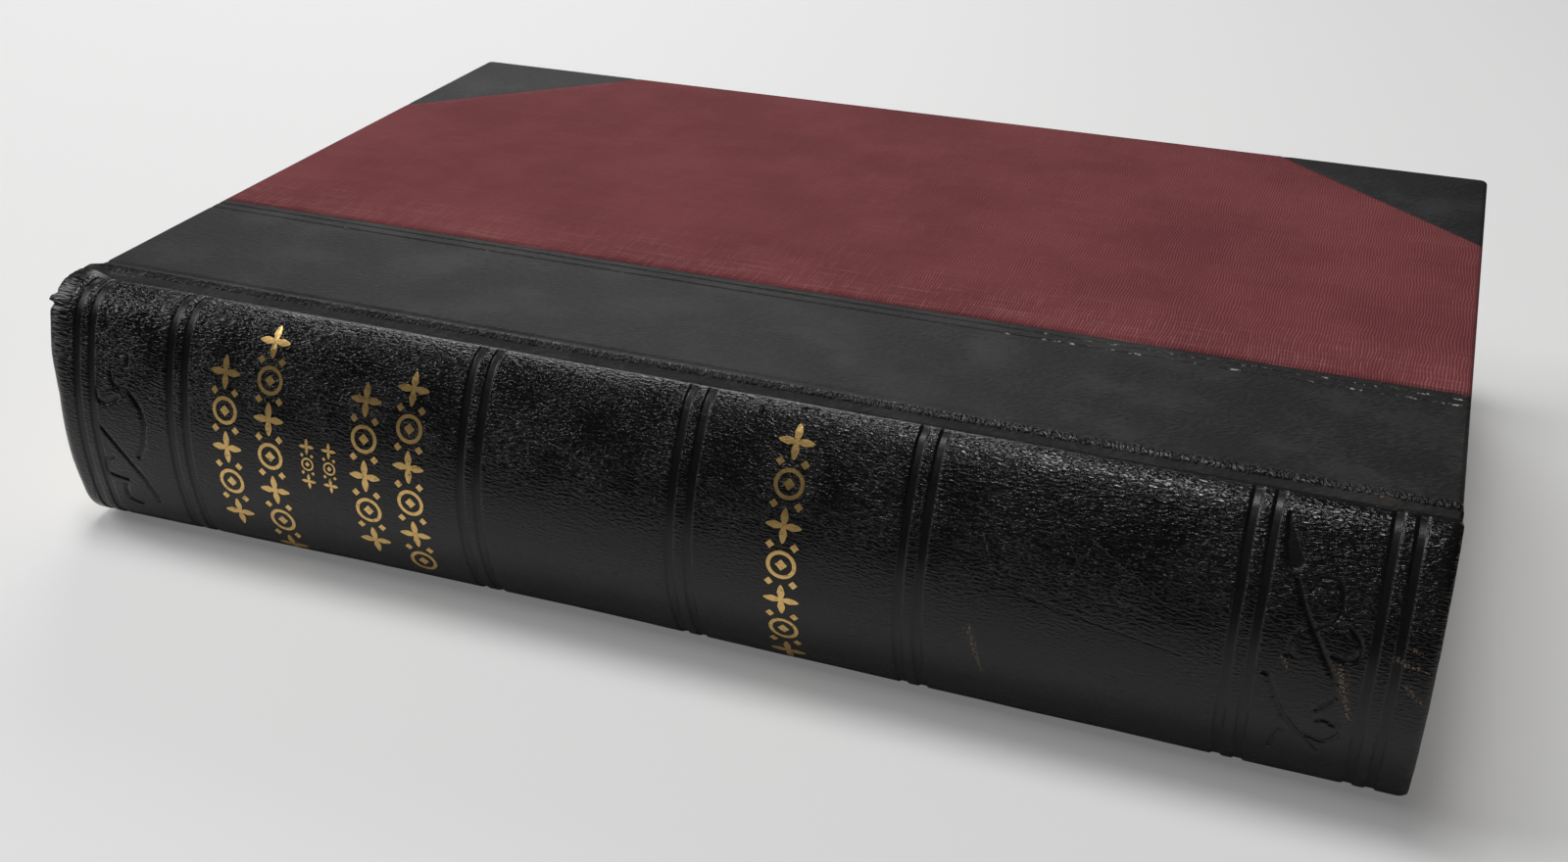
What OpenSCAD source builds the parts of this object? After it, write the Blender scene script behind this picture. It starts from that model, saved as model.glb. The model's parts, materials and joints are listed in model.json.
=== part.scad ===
// Half leather book lying on its back cover, spine towards -Y, head towards -X.
// Lengths are in millimetres. The origin is on the outer face of the back cover,
// midway along the boards and midway between the spine and the fore-edge.

/* [Boards] */
// Height of the boards, head to tail
board_h = 250; // [180:1:300]
// Width of the boards, joint to fore-edge
board_w = 165.2; // [120:0.1:200]
// Thickness of one board
board_t = 3; // [2:0.1:4]
// Thickness of the leather and of the cloth that cover a board
skin_t = 0.7; // [0.5:0.05:0.9]
// Depth of the covering that is turned over onto the inside of a board
turn_in = 15; // [10:0.5:22]
// Bare margin between the board's edge and the pasted endpaper
paste_margin = 4; // [2:0.5:8]
// Thickness of the endpapers
paper_t = 0.3; // [0.2:0.05:0.4]

/* [Half leather] */
// Width of the leather strip beside the joint
strip_w = 42.1; // [25:0.1:50]
// Leather corner, length along the head or tail edge
corner_y = 46; // [25:0.5:55]
// Leather corner, length along the fore-edge
corner_x = 45; // [25:0.1:60]
// First blind line, distance from the cloth
line_a = 2.4; // [1.5:0.1:3]
// Second blind line, distance from the cloth
line_b = 5.1; // [4:0.1:8]
// Blind line beside the joint, distance from the joint
line_joint = 2.1; // [1.6:0.1:3]
// Radius of the blind lines' section
line_r = 0.5; // [0.3:0.05:0.6]
// Depth of the blind lines
line_depth = 0.3; // [0.1:0.05:0.4]

/* [Pages] */
// Thickness of the pressed pages
block_t = 40.6; // [38:0.1:60]
// Overhang of the boards past the pages at head and tail
square_end = 3; // [2:0.1:5]
// Overhang of the boards past the pages at the fore-edge
square_front = 3.5; // [2:0.1:6]
// Depth of the hollow in the fore-edge
fore_hollow = 4.5; // [2:0.1:6]
// Radius of the backing shoulder beside the joint
backing_r = 2.7; // [2:0.1:2.9]
// Radius of the endband roll
endband_r = 1; // [0.6:0.05:1.3]
// Bare thickness of the pages beyond each end of the endband
endband_edge = 3.3; // [2.5:0.1:7]

/* [Spine] */
// How far the spine stands out from the joint
spine_bulge = 15.8; // [14.5:0.1:18]
// Distance behind the joint at which the back's shoulders stand highest
shoulder_in = 2.6; // [2:0.1:4]
// Radius where the back turns into the joint
shoulder_r = 7.6; // [7:0.1:9]
// Step from the cover's outer face down to the spine's shoulder
shoulder_drop = 0.7; // [0.4:0.05:1]
// Radius of the valley along the joint
valley_r = 2.4; // [2:0.1:2.8]
// Depth of the valley below the cover's outer face
valley_depth = 1.5; // [1.2:0.05:1.7]
// Thickness of the spine leather
leather_t = 0.8; // [0.6:0.05:1]
// Thickness of the card that stiffens the spine
card_t = 0.8; // [0.5:0.05:1.1]
// Distance from the covers' outer faces to the card's edges
card_edge = 5.1; // [4.5:0.1:10]
// Thickness of the pared leather turned in at head and tail
pared_t = 0.4; // [0.3:0.05:0.5]
// How far the spine stands past the board at the head
head_over = 1.6; // [0:0.1:2]
// How far the spine stands past the board at the tail
tail_over = 0.4; // [0:0.1:1]
// How far the torn cap stands past the board at the head
torn_over = 4.6; // [3:0.1:6]
// Width of the torn cap, from the joint
torn_w = 10.2; // [8:0.1:13]

/* [Spine lining] */
// Thickness of each wall of the paper tube
tube_t = 0.3; // [0.2:0.05:0.4]
// Opening inside the flattened paper tube
tube_gap = 0.8; // [0.4:0.05:1]
// Bare thickness of the pages beyond each edge of the paper tube
tube_edge = 2.3; // [1.5:0.1:6]
// Bare thickness of the pages beyond each edge of the mull
mull_edge = 1.3; // [1:0.1:6]
// Thickness of the mull
mull_t = 0.6; // [0.5:0.05:0.7]
// Bare length of the back beyond the mull at each end
mull_margin = 12; // [6:1:25]
// Number of sewing tapes
tape_n = 4; // [3:1:5]
// Width of a sewing tape
tape_w = 12; // [8:1:16]
// Bare thickness of the pages beyond each end of a sewing tape
tape_edge = 3.3; // [2:0.1:8]
// Thickness of a sewing tape
tape_t = 0.4; // [0.2:0.05:0.45]

/* [Blind bands] */
// Distance of the outer bands from the head edge of the boards
head_bands = [5.6, 27];
// Place of the inner bands along the spine, from the middle
middle_bands = [-35.9, 4.5, 45.2];
// Distance of the outer bands from the tail edge of the boards
tail_bands = [27.3, 6.9];
// Distance between the two stripes of a band
band_pitch = 3.4; // [2.6:0.1:4]
// Width of one stripe
stripe_w = 1.6; // [1:0.1:2]
// Depth of a stripe
stripe_depth = 0.35; // [0.1:0.05:0.5]

/* [Gilding] */
// Thickness of the gold
gold_t = 0.08; // [0.05:0.01:0.15]
// Distance between neighbouring ornaments
flower_pitch = 7.2; // [6.5:0.1:8]
// Size of a gilt flower or ring
flower_size = 6.4; // [5:0.2:7]
// Size of a small gilt flower or ring
bud_size = 3.1; // [2:0.1:3.5]

/* [Clearances] */
// Half of the slit in the joint, where the covers turn
joint_gap = 0.15; // [0.1:0.01:0.3]
// Distance from the joint to the board's back edge
board_gap = 0.6; // [0.4:0.1:1.2]
// Clearance between a pasted endpaper and the leaf it faces
leaf_gap = 0.3; // [0.2:0.05:0.5]

/* [Hidden] */
$fa = 1;
$fs = 0.2;
// Cover's inner face, measured down from its outer face
cover_t = 2 * skin_t + board_t + paper_t;
// Thickness of the whole book
book_t = block_t + 2 * (cover_t + leaf_gap + paper_t);
mid_z = book_t / 2;
joint_y = (spine_bulge - board_w) / 2;
block_h = board_h - 2 * square_end;
block_front = board_w - square_front;
fore_r = (pow(block_t / 2, 2) + pow(fore_hollow, 2)) / (2 * fore_hollow);
// The back's arc passes through the furthest point and touches both shoulder arcs from outside
shoulder_z = mid_z - shoulder_drop - shoulder_r;
shoulder_y = -shoulder_in;
bulge_y = spine_bulge + shoulder_y;
back_r = (pow(bulge_y, 2) + pow(shoulder_z, 2) - pow(shoulder_r, 2)) / (2 * (bulge_y - shoulder_r));
back_y = back_r - spine_bulge;
shoulder_angle = asin(shoulder_z / (back_r - shoulder_r));
// Valley beside the joint
valley_y = -joint_gap - sqrt(pow(valley_r, 2) - pow(valley_r - valley_depth + shoulder_drop, 2));
valley_rise = valley_r - valley_depth;
// Depth of each layer below the spine's outer face
card_in = leather_t + card_t;
pared_in = card_in + pared_t;
tube_in = pared_in + 2 * tube_t + tube_gap;
block_in = tube_in + mull_t;
// Height of each layer of the spine
card_h = book_t - 2 * card_edge;
tube_h = block_t - 2 * tube_edge;
mull_h = block_t - 2 * mull_edge;
tape_h = block_t - 2 * tape_edge;
endband_h = block_t - 2 * endband_edge;
// Ends of the spine
head_x = -board_h / 2 - head_over;
tail_x = board_h / 2 + tail_over;
torn_x = -board_h / 2 - torn_over;
cut = 1;
// Place of each band along the spine
band_x = concat([for (d = head_bands) -board_h / 2 + d], middle_bands,
                [for (d = tail_bands) board_h / 2 - d]);
// Rows of gilding: place along the spine, number of ornaments, and size
title_rows = [[-87.2, 5, flower_size], [-77.6, 7, flower_size], [-69.5, 3, bud_size],
              [-64.8, 3, bud_size], [-57.3, 5, flower_size], [-48.1, 6, flower_size]];
lower_rows = [[23.2, 7, flower_size]];
// Shares of an ornament's size
petal_long = 0.52;
petal_wide = 0.22;
petal_out = 0.24;
eye_share = 0.16;
ring_share = 0.84;
ring_line = 0.11;
drop_share = 0.18;
drop_out = 0.34;
// Run of the back's arc from its middle to a shoulder, along the leather
back_run = back_r * shoulder_angle * PI / 180;

// Extrudes an outline drawn in Y and Z along X
module along_x(x0, x1) {
    translate([x0, 0, 0]) rotate([90, 0, 90]) linear_extrude(x1 - x0) children();
}

// Moves a piece drawn under an outer face at height 0, joint at Y 0, to a cover
module on_front() {
    translate([0, joint_y, book_t]) children();
}

module on_back() {
    translate([0, joint_y, 0]) mirror([0, 0, 1]) children();
}

// Outline of the rounded spine, taken in by a depth below its outer face
module back_outline(depth) {
    far = back_r + cut;
    reach = shoulder_z + shoulder_r - depth;
    intersection() {
        union() {
            intersection() {
                translate([back_y, 0]) circle(r = back_r - depth);
                polygon([[back_y, 0],
                         [back_y - far, far * tan(shoulder_angle)],
                         [back_y - far, -far * tan(shoulder_angle)]]);
            }
            for (side = [-1, 1])
                translate([shoulder_y, side * shoulder_z]) circle(r = shoulder_r - depth);
            translate([shoulder_y, -reach]) square([-shoulder_y, 2 * reach]);
        }
        translate([-2 * spine_bulge, -mid_z]) square([2 * spine_bulge - joint_gap, book_t]);
    }
}

// Layer of the spine between two depths, drawn about the joint and mid thickness
module back_layer(outer, inner) {
    difference() {
        back_outline(outer);
        back_outline(inner);
    }
}

// Part of a layer within a height centred on the back
module back_layer_within(outer, inner, height) {
    intersection() {
        back_layer(outer, inner);
        translate([-2 * spine_bulge, -height / 2]) square([2 * spine_bulge + shoulder_y, height]);
    }
}

module at_spine() {
    translate([joint_y, mid_z]) children();
}

// Round trough beside both joints, or the leather's underside beneath it
module valleys(radius) {
    for (side = [-1, 1])
        translate([valley_y, side * (mid_z + valley_rise)]) circle(r = radius);
}

module text_block() {
    color("wheat")
    along_x(-block_h / 2, block_h / 2)
    at_spine()
    difference() {
        union() {
            back_outline(block_in);
            translate([shoulder_y, -block_t / 2]) square([block_front - shoulder_y, block_t]);
            intersection() {
                for (side = [-1, 1])
                    translate([-backing_r - 2 * joint_gap, side * block_t / 2]) circle(r = backing_r);
                translate([-spine_bulge, -mid_z]) square([spine_bulge - 2 * joint_gap, book_t]);
            }
        }
        translate([block_front - fore_hollow + fore_r, 0]) circle(r = fore_r);
    }
}

// Loose leaf of the endpapers, lying on the pages
module flyleaf() {
    translate([-block_h / 2, board_gap, -cover_t - leaf_gap - paper_t])
        cube([block_h, block_front - board_gap, paper_t]);
}

module front_flyleaf() {
    color("antiquewhite") on_front() flyleaf();
}

module back_flyleaf() {
    color("antiquewhite") on_back() flyleaf();
}

// Linen tapes that the sections are sewn to, let into the mull
module tapes() {
    pitch = block_h / (tape_n + 1);
    for (i = [1 : tape_n])
        along_x(-block_h / 2 + i * pitch - tape_w / 2, -block_h / 2 + i * pitch + tape_w / 2)
            at_spine() back_layer_within(block_in - tape_t, block_in, tape_h);
}

module sewing_tapes() {
    color("linen") tapes();
}

module mull() {
    color("whitesmoke")
    difference() {
        along_x(-block_h / 2 + mull_margin, block_h / 2 - mull_margin)
            at_spine() back_layer_within(tube_in, block_in, mull_h);
        tapes();
    }
}

// Silk roll along the back edge of the pages, bent to the round of the back
module endband(x) {
    roll_r = back_r - block_in - endband_r;
    half_angle = asin(endband_h / 2 / roll_r);
    translate([x, joint_y + back_y, mid_z])
        rotate([90, 0, 90])
        rotate([0, 0, 180 - half_angle])
        rotate_extrude(angle = 2 * half_angle) translate([roll_r, 0]) circle(r = endband_r);
}

module endband_head() {
    color("firebrick") endband(-block_h / 2 - endband_r);
}

module endband_tail() {
    color("firebrick") endband(block_h / 2 + endband_r);
}

// Flattened paper tube between the mull and the spine card
module hollow_back_tube() {
    color("peru")
    along_x(-block_h / 2, block_h / 2)
    at_spine()
    difference() {
        back_layer_within(pared_in, tube_in, tube_h);
        back_layer_within(pared_in + tube_t, tube_in - tube_t, tube_h - 2 * tube_t);
    }
}

module spine_stiffener() {
    color("tan")
    along_x(head_x + leather_t, tail_x - leather_t)
        at_spine() back_layer_within(leather_t, card_in, card_h);
}

// Leather over the spine, with its valleys, blind bands, turned ends and torn cap
module spine_leather() {
    color([0.09, 0.09, 0.1])
    difference() {
        union() {
            along_x(head_x, tail_x) at_spine() spine_section();
            along_x(head_x, head_x + leather_t)
                at_spine() back_layer_within(leather_t, pared_in, card_h);
            along_x(tail_x - leather_t, tail_x)
                at_spine() back_layer_within(leather_t, pared_in, card_h);
            along_x(head_x, head_x + turn_in)
                at_spine() back_layer_within(card_in, pared_in, card_h);
            along_x(tail_x - turn_in, tail_x)
                at_spine() back_layer_within(card_in, pared_in, card_h);
            torn_cap();
        }
        for (x = band_x, side = [-1, 1])
            along_x(x + side * band_pitch / 2 - stripe_w / 2, x + side * band_pitch / 2 + stripe_w / 2)
                at_spine() stripe_section();
    }
}

module spine_section() {
    difference() {
        back_outline(0);
        difference() {
            back_outline(leather_t);
            valleys(valley_r + leather_t);
        }
        valleys(valley_r);
    }
}

module stripe_section() {
    intersection() {
        back_layer(-cut, stripe_depth);
        translate([-2 * spine_bulge, -mid_z]) square([2 * spine_bulge + valley_y - valley_r, book_t]);
    }
}

// Ragged outline of the torn cap: shares of its reach past the head and of its width
torn_outline = [[0.9, 0], [1, 0.3], [0.72, 0.75], [0.6, 1]];

// Leather of the head cap, torn loose beside the front joint
module torn_cap() {
    reach = head_x - torn_x;
    ragged = [for (p = torn_outline) [-p[0] * reach, -p[1] * torn_w]];
    intersection() {
        along_x(torn_x, head_x) at_spine() spine_section();
        translate([head_x, joint_y - joint_gap, mid_z])
            linear_extrude(mid_z) polygon(concat([[0, 0]], ragged, [[0, -torn_w]]));
    }
}

// Pointed petal, the overlap of two circles
module petal(length, width) {
    r = (pow(length, 2) + pow(width, 2)) / (4 * width);
    intersection() {
        translate([0, r - width / 2]) circle(r = r);
        translate([0, width / 2 - r]) circle(r = r);
    }
}

// Four petals round an eye
module flower(size) {
    circle(d = eye_share * size);
    for (turn = [0 : 90 : 270])
        rotate(turn) translate([petal_out * size, 0]) petal(petal_long * size, petal_wide * size);
}

module lozenge(size) {
    rotate(45) square(size, center = true);
}

// Ring with a lozenge in it
module ringed_lozenge(size) {
    difference() {
        circle(d = ring_share * size);
        circle(d = (ring_share - 2 * ring_line) * size);
    }
    lozenge(petal_out * size);
}

// Direction faced by the spine at a distance above its middle, measured along the leather
function spine_turn(s) = abs(s) <= back_run
    ? s / back_r * 180 / PI
    : sign(s) * (shoulder_angle + (abs(s) - back_run) / shoulder_r * 180 / PI);

// Place in Y and Z of the same point of the leather
function spine_point(s) = abs(s) <= back_run
    ? [back_y - back_r * cos(spine_turn(s)), back_r * sin(spine_turn(s))]
    : [shoulder_y - shoulder_r * cos(spine_turn(s)), sign(s) * shoulder_z + shoulder_r * sin(spine_turn(s))];

// Stands a flat shape on the spine, facing outwards and long enough to pass the gold
module on_spine(x, s) {
    translate([x, joint_y + spine_point(s)[0], mid_z + spine_point(s)[1]])
        rotate([90 - spine_turn(s), 0, 0])
        linear_extrude(2 * cut, center = true)
        children();
}

// One row of flowers and ringed lozenges in turn, with small lozenges between them
module gilt_row(x, count, size) {
    pitch = flower_pitch * size / flower_size;
    for (i = [0 : count - 1])
        on_spine(x, (i - (count - 1) / 2) * pitch) {
            if (i % 2 == 0) flower(size);
            else ringed_lozenge(size);
        }
    for (i = [1 : count - 1], side = [-1, 1])
        on_spine(x + side * drop_out * size, (i - count / 2) * pitch) lozenge(drop_share * size);
}

// Lays rows of ornament onto the outer face of the spine
module gilt(rows) {
    intersection() {
        along_x(head_x, tail_x) at_spine() back_layer(-gold_t, 0);
        for (row = rows) gilt_row(row[0], row[1], row[2]);
    }
}

module gilt_title_ornament() {
    color("goldenrod") gilt(title_rows);
}

module gilt_lower_ornament() {
    color("goldenrod") gilt(lower_rows);
}

module board() {
    translate([-board_h / 2 + skin_t, board_gap, -skin_t - board_t])
        cube([board_h - 2 * skin_t, board_w - board_gap - skin_t, board_t]);
}

module front_board() {
    color("burlywood") on_front() board();
}

module back_board() {
    color("burlywood") on_back() board();
}

// Covering round a board: outer face, three folded edges and the turn-ins
module covering() {
    difference() {
        translate([-board_h / 2, joint_gap, -2 * skin_t - board_t])
            cube([board_h, board_w - joint_gap, 2 * skin_t + board_t]);
        board();
        translate([-board_h / 2 + turn_in, -cut, -cover_t])
            cube([board_h - 2 * turn_in, board_w - turn_in + cut, cover_t - skin_t - board_t]);
        translate([-board_h / 2 - cut, -cut, -cover_t])
            cube([board_h + 2 * cut, board_gap + cut, cover_t - skin_t]);
    }
}

// Cuts the covering to an outline in X and Y
module covering_within() {
    intersection() {
        covering();
        translate([0, 0, -cover_t]) linear_extrude(cover_t + cut) children();
    }
}

module strip_outline() {
    translate([-board_h / 2, 0]) square([board_h, strip_w]);
}

module corner_outline(end) {
    polygon([[end * board_h / 2, board_w - corner_y], [end * board_h / 2, board_w],
             [end * (board_h / 2 - corner_x), board_w]]);
}

module cloth_outline() {
    difference() {
        translate([-board_h / 2, 0]) square([board_h, board_w]);
        strip_outline();
        corner_outline(-1);
        corner_outline(1);
    }
}

// Strip of leather beside the joint, with its blind lines
module leather_strip() {
    difference() {
        covering_within() strip_outline();
        for (y = [strip_w - line_a, strip_w - line_b, line_joint])
            translate([-board_h / 2 - cut, y, line_r - line_depth])
                rotate([0, 90, 0]) cylinder(r = line_r, h = board_h + 2 * cut);
    }
}

module front_leather_strip() {
    color([0.2, 0.2, 0.2]) on_front() leather_strip();
}

module back_leather_strip() {
    color([0.2, 0.2, 0.2]) on_back() leather_strip();
}

module front_corner_leather_head() {
    color([0.2, 0.2, 0.2]) on_front() covering_within() corner_outline(-1);
}

module front_corner_leather_tail() {
    color([0.2, 0.2, 0.2]) on_front() covering_within() corner_outline(1);
}

module back_corner_leather_head() {
    color([0.2, 0.2, 0.2]) on_back() covering_within() corner_outline(-1);
}

module back_corner_leather_tail() {
    color([0.2, 0.2, 0.2]) on_back() covering_within() corner_outline(1);
}

module front_cloth() {
    color([0.42, 0.22, 0.24]) on_front() covering_within() cloth_outline();
}

module back_cloth() {
    color([0.42, 0.22, 0.24]) on_back() covering_within() cloth_outline();
}

// Filling paper that makes the inside of a board level between the turn-ins
module board_lining() {
    translate([-board_h / 2 + turn_in, board_gap, -2 * skin_t - board_t])
        cube([board_h - 2 * turn_in, board_w - turn_in - board_gap, skin_t]);
}

module front_board_lining() {
    color("lightgray") on_front() board_lining();
}

module back_board_lining() {
    color("lightgray") on_back() board_lining();
}

// Half of the endpaper, pasted down over the turn-ins
module pastedown() {
    translate([-board_h / 2 + paste_margin, board_gap, -cover_t])
        cube([board_h - 2 * paste_margin, board_w - paste_margin - board_gap, paper_t]);
}

module front_pastedown() {
    color("antiquewhite") on_front() pastedown();
}

module back_pastedown() {
    color("antiquewhite") on_back() pastedown();
}

text_block();
front_flyleaf();
back_flyleaf();
sewing_tapes();
mull();
endband_head();
endband_tail();
hollow_back_tube();
spine_stiffener();
spine_leather();
gilt_title_ornament();
gilt_lower_ornament();
front_board();
front_leather_strip();
front_corner_leather_head();
front_corner_leather_tail();
front_cloth();
front_board_lining();
front_pastedown();
back_board();
back_leather_strip();
back_corner_leather_head();
back_corner_leather_tail();
back_cloth();
back_board_lining();
back_pastedown();
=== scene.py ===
import json
import math
import random

import bmesh
import bpy
from mathutils import Matrix, Vector, kdtree, noise


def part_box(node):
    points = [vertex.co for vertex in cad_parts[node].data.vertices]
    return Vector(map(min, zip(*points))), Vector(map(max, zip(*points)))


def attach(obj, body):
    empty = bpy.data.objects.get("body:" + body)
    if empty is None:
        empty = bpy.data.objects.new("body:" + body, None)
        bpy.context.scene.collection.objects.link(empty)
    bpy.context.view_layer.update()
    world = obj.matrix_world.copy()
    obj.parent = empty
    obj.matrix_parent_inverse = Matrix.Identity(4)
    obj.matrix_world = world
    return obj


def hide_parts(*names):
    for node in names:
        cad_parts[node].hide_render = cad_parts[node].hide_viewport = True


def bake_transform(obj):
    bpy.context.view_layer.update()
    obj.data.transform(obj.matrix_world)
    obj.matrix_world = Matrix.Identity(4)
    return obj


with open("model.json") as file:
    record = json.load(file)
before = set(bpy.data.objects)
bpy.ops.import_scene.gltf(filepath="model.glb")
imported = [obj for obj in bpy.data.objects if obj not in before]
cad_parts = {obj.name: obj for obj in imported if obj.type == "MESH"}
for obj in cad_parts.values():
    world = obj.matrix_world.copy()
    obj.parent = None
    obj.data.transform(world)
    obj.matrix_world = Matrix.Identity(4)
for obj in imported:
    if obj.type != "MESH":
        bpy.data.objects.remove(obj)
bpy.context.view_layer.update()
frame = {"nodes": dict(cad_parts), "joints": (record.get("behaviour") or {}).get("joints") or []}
mm = 0.001

# Places taken from the frame. Across the book, u is measured from the joint towards the fore-edge.
frontJoint = next(joint for joint in frame["joints"] if joint["name"] == "front_joint")
jointY, faceZ = frontJoint["pos_m"][1], frontJoint["pos_m"][2]
midZ = faceZ / 2
clothLow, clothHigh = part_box("front_cloth")
spineLow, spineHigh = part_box("spine_leather")
pagesLow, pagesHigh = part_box("text_block")
book = {
    "endX": clothHigh.x,  # head and tail edges of the boards
    "foreU": clothHigh.y - jointY,  # fore-edge of the boards
    "clothU": clothLow.y - jointY,  # where the leather strip ends and the cloth begins
    "coverH": faceZ - clothLow.z,  # board with the covering on both its faces
    "spineU": spineLow.y - jointY,  # furthest point of the rounded spine
    "tailX": spineHigh.x,
    "tornX": -spineLow.x,
    "foldRadius": 0.9 * mm,
    "turnIn": 15 * mm,
    "turnStep": 2.8 * mm,  # between the stations of a turned-in part
}
print("frame loaded, cover face at", round(faceZ, 4))


# Camera at the photograph's viewing angle
camera = {
    "place": (0.1093, -0.3488, 0.1844),
    "turn": (1.122, -0.004, 0.401),
    "lens": 42.98,
    "shift": (0.0818, -0.0109),
}
cameraData = bpy.data.cameras.new("camera")
cameraData.lens = camera["lens"]
cameraData.sensor_width = 36
cameraData.shift_x, cameraData.shift_y = camera["shift"]
cameraData.clip_start = 0.01
cameraObject = bpy.data.objects.new("camera", cameraData)
cameraObject.location = camera["place"]
cameraObject.rotation_euler = camera["turn"]
bpy.context.scene.collection.objects.link(cameraObject)
bpy.context.scene.camera = cameraObject
bpy.context.scene.view_settings.view_transform = "Standard"


# Small helpers for node trees
def addNode(tree, kind, inputs=None, **settings):
    made = tree.nodes.new("ShaderNode" + kind)
    for key, value in settings.items():
        setattr(made, key, value)
    for key, value in (inputs or {}).items():
        if isinstance(value, bpy.types.NodeSocket):
            tree.links.new(value, made.inputs[key])
        else:
            made.inputs[key].default_value = value
    return made


# A node that is fed by at least one socket stands in that socket's tree
def fedNode(kind, inputs, **settings):
    sockets = [value for value in inputs.values() if isinstance(value, bpy.types.NodeSocket)]
    return addNode(sockets[0].id_data, kind, inputs, **settings)


def calc(operation, *values, clamp=False):
    return fedNode("Math", dict(enumerate(values)), operation=operation, use_clamp=clamp).outputs[0]


def times(first, second):
    return calc("MULTIPLY", first, second)


def minus(first, second):
    return calc("SUBTRACT", first, second)


def plus(total, *others):
    for other in others:
        total = calc("ADD", total, other)
    return total


def sineWave(value, pitch):
    return calc("SINE", times(value, 2 * math.pi / pitch))


def vectorCalc(operation, first, second):
    return fedNode("VectorMath", {0: first, 1: second}, operation=operation).outputs


def part(vector, axis):
    return fedNode("SeparateXYZ", {0: vector}).outputs[axis]


def joined(*values):
    return fedNode("CombineXYZ", dict(enumerate(values))).outputs[0]


def remap(value, low, high, toLow=0.0, toHigh=1.0):
    inputs = {"Value": value, "From Min": low, "From Max": high, "To Min": toLow, "To Max": toHigh}
    return fedNode("MapRange", inputs, interpolation_type="SMOOTHSTEP").outputs[0]


def mixColour(share, first, second, mode="MIX"):
    inputs = {0: share, 6: first, 7: second}
    return fedNode("Mix", inputs, data_type="RGBA", blend_type=mode).outputs[2]


def mixValue(share, first, second):
    return fedNode("Mix", {0: share, 2: first, 3: second}, data_type="FLOAT").outputs[0]


def stretched(vector, scale):
    return fedNode("Mapping", {"Vector": vector, "Scale": scale}).outputs[0]


def noiseAt(vector, scale, detail=3.0, roughness=0.5, distortion=0.0):
    inputs = {"Vector": vector, "Scale": scale, "Detail": detail, "Roughness": roughness,
              "Distortion": distortion}
    return fedNode("TexNoise", inputs).outputs[0]


# Millimetres along and across a sheet
def sheetMap(tree):
    return addNode(tree, "UVMap", uv_map="sheet").outputs[0]


# Millimetres in the book's own frame
def bookMap(tree):
    return stretched(addNode(tree, "TexCoord").outputs["Object"], (1000, 1000, 1000))


def startMaterial(name, **sockets):
    material = bpy.data.materials.new(name)
    material.use_nodes = True
    tree = material.node_tree
    for label, value in sockets.items():
        tree.nodes["Principled BSDF"].inputs[label.replace("_", " ")].default_value = value
    return material, tree


# Links a finish's colour, its relief and, where it varies, its roughness
def finishMaterial(material, base, height, depth, rough=None):
    tree = material.node_tree
    inputs = tree.nodes["Principled BSDF"].inputs
    tree.links.new(base, inputs["Base Color"])
    if rough is not None:
        tree.links.new(rough, inputs["Roughness"])
    relief = fedNode("Bump", {"Height": height, "Distance": depth, "Strength": 1.0}).outputs[0]
    tree.links.new(relief, inputs["Normal"])
    return material


# One worn stroke: 1 along its line, falling to 0 at its half width, which narrows along it
def strokeGroup():
    group = bpy.data.node_groups.new("wornStroke", "ShaderNodeTree")
    for label, kind in (("Place", "Vector"), ("Start", "Vector"), ("Run", "Vector"), ("Width", "Float")):
        group.interface.new_socket(label, in_out="INPUT", socket_type="NodeSocket" + kind)
    group.interface.new_socket("Mask", in_out="OUTPUT", socket_type="NodeSocketFloat")
    given = group.nodes.new("NodeGroupInput").outputs
    away = vectorCalc("SUBTRACT", given["Place"], given["Start"])[0]
    along = vectorCalc("DOT_PRODUCT", away, given["Run"])[1]
    whole = vectorCalc("DOT_PRODUCT", given["Run"], given["Run"])[1]
    share = calc("DIVIDE", along, whole, clamp=True)
    nearest = fedNode("VectorMath", {0: given["Run"], "Scale": share}, operation="SCALE").outputs[0]
    gap = vectorCalc("DISTANCE", away, nearest)[1]
    halfWidth = times(given["Width"], minus(1.1, times(share, 0.6)))
    mask = calc("SUBTRACT", 1.0, calc("DIVIDE", gap, halfWidth), clamp=True)
    group.links.new(mask, group.nodes.new("NodeGroupOutput").inputs["Mask"])
    return group


wornStroke = strokeGroup()


def strokes(place, lines):
    total = None
    for startX, startS, endX, endS, width in lines:
        given = {"Place": place, "Start": (startX, startS, 0), "Run": (endX - startX, endS - startS, 0),
                 "Width": width}
        mask = fedNode("Group", given, node_tree=wornStroke).outputs["Mask"]
        total = mask if total is None else calc("MAXIMUM", total, mask)
    return total


# Broken flecks where the finish is rubbed through: more of them towards the middle of a stroke
def flecks(place, strength):
    return remap(plus(noiseAt(place, 2.7, 5.0, 0.75), times(strength, 0.20)), 0.70, 0.75)


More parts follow.
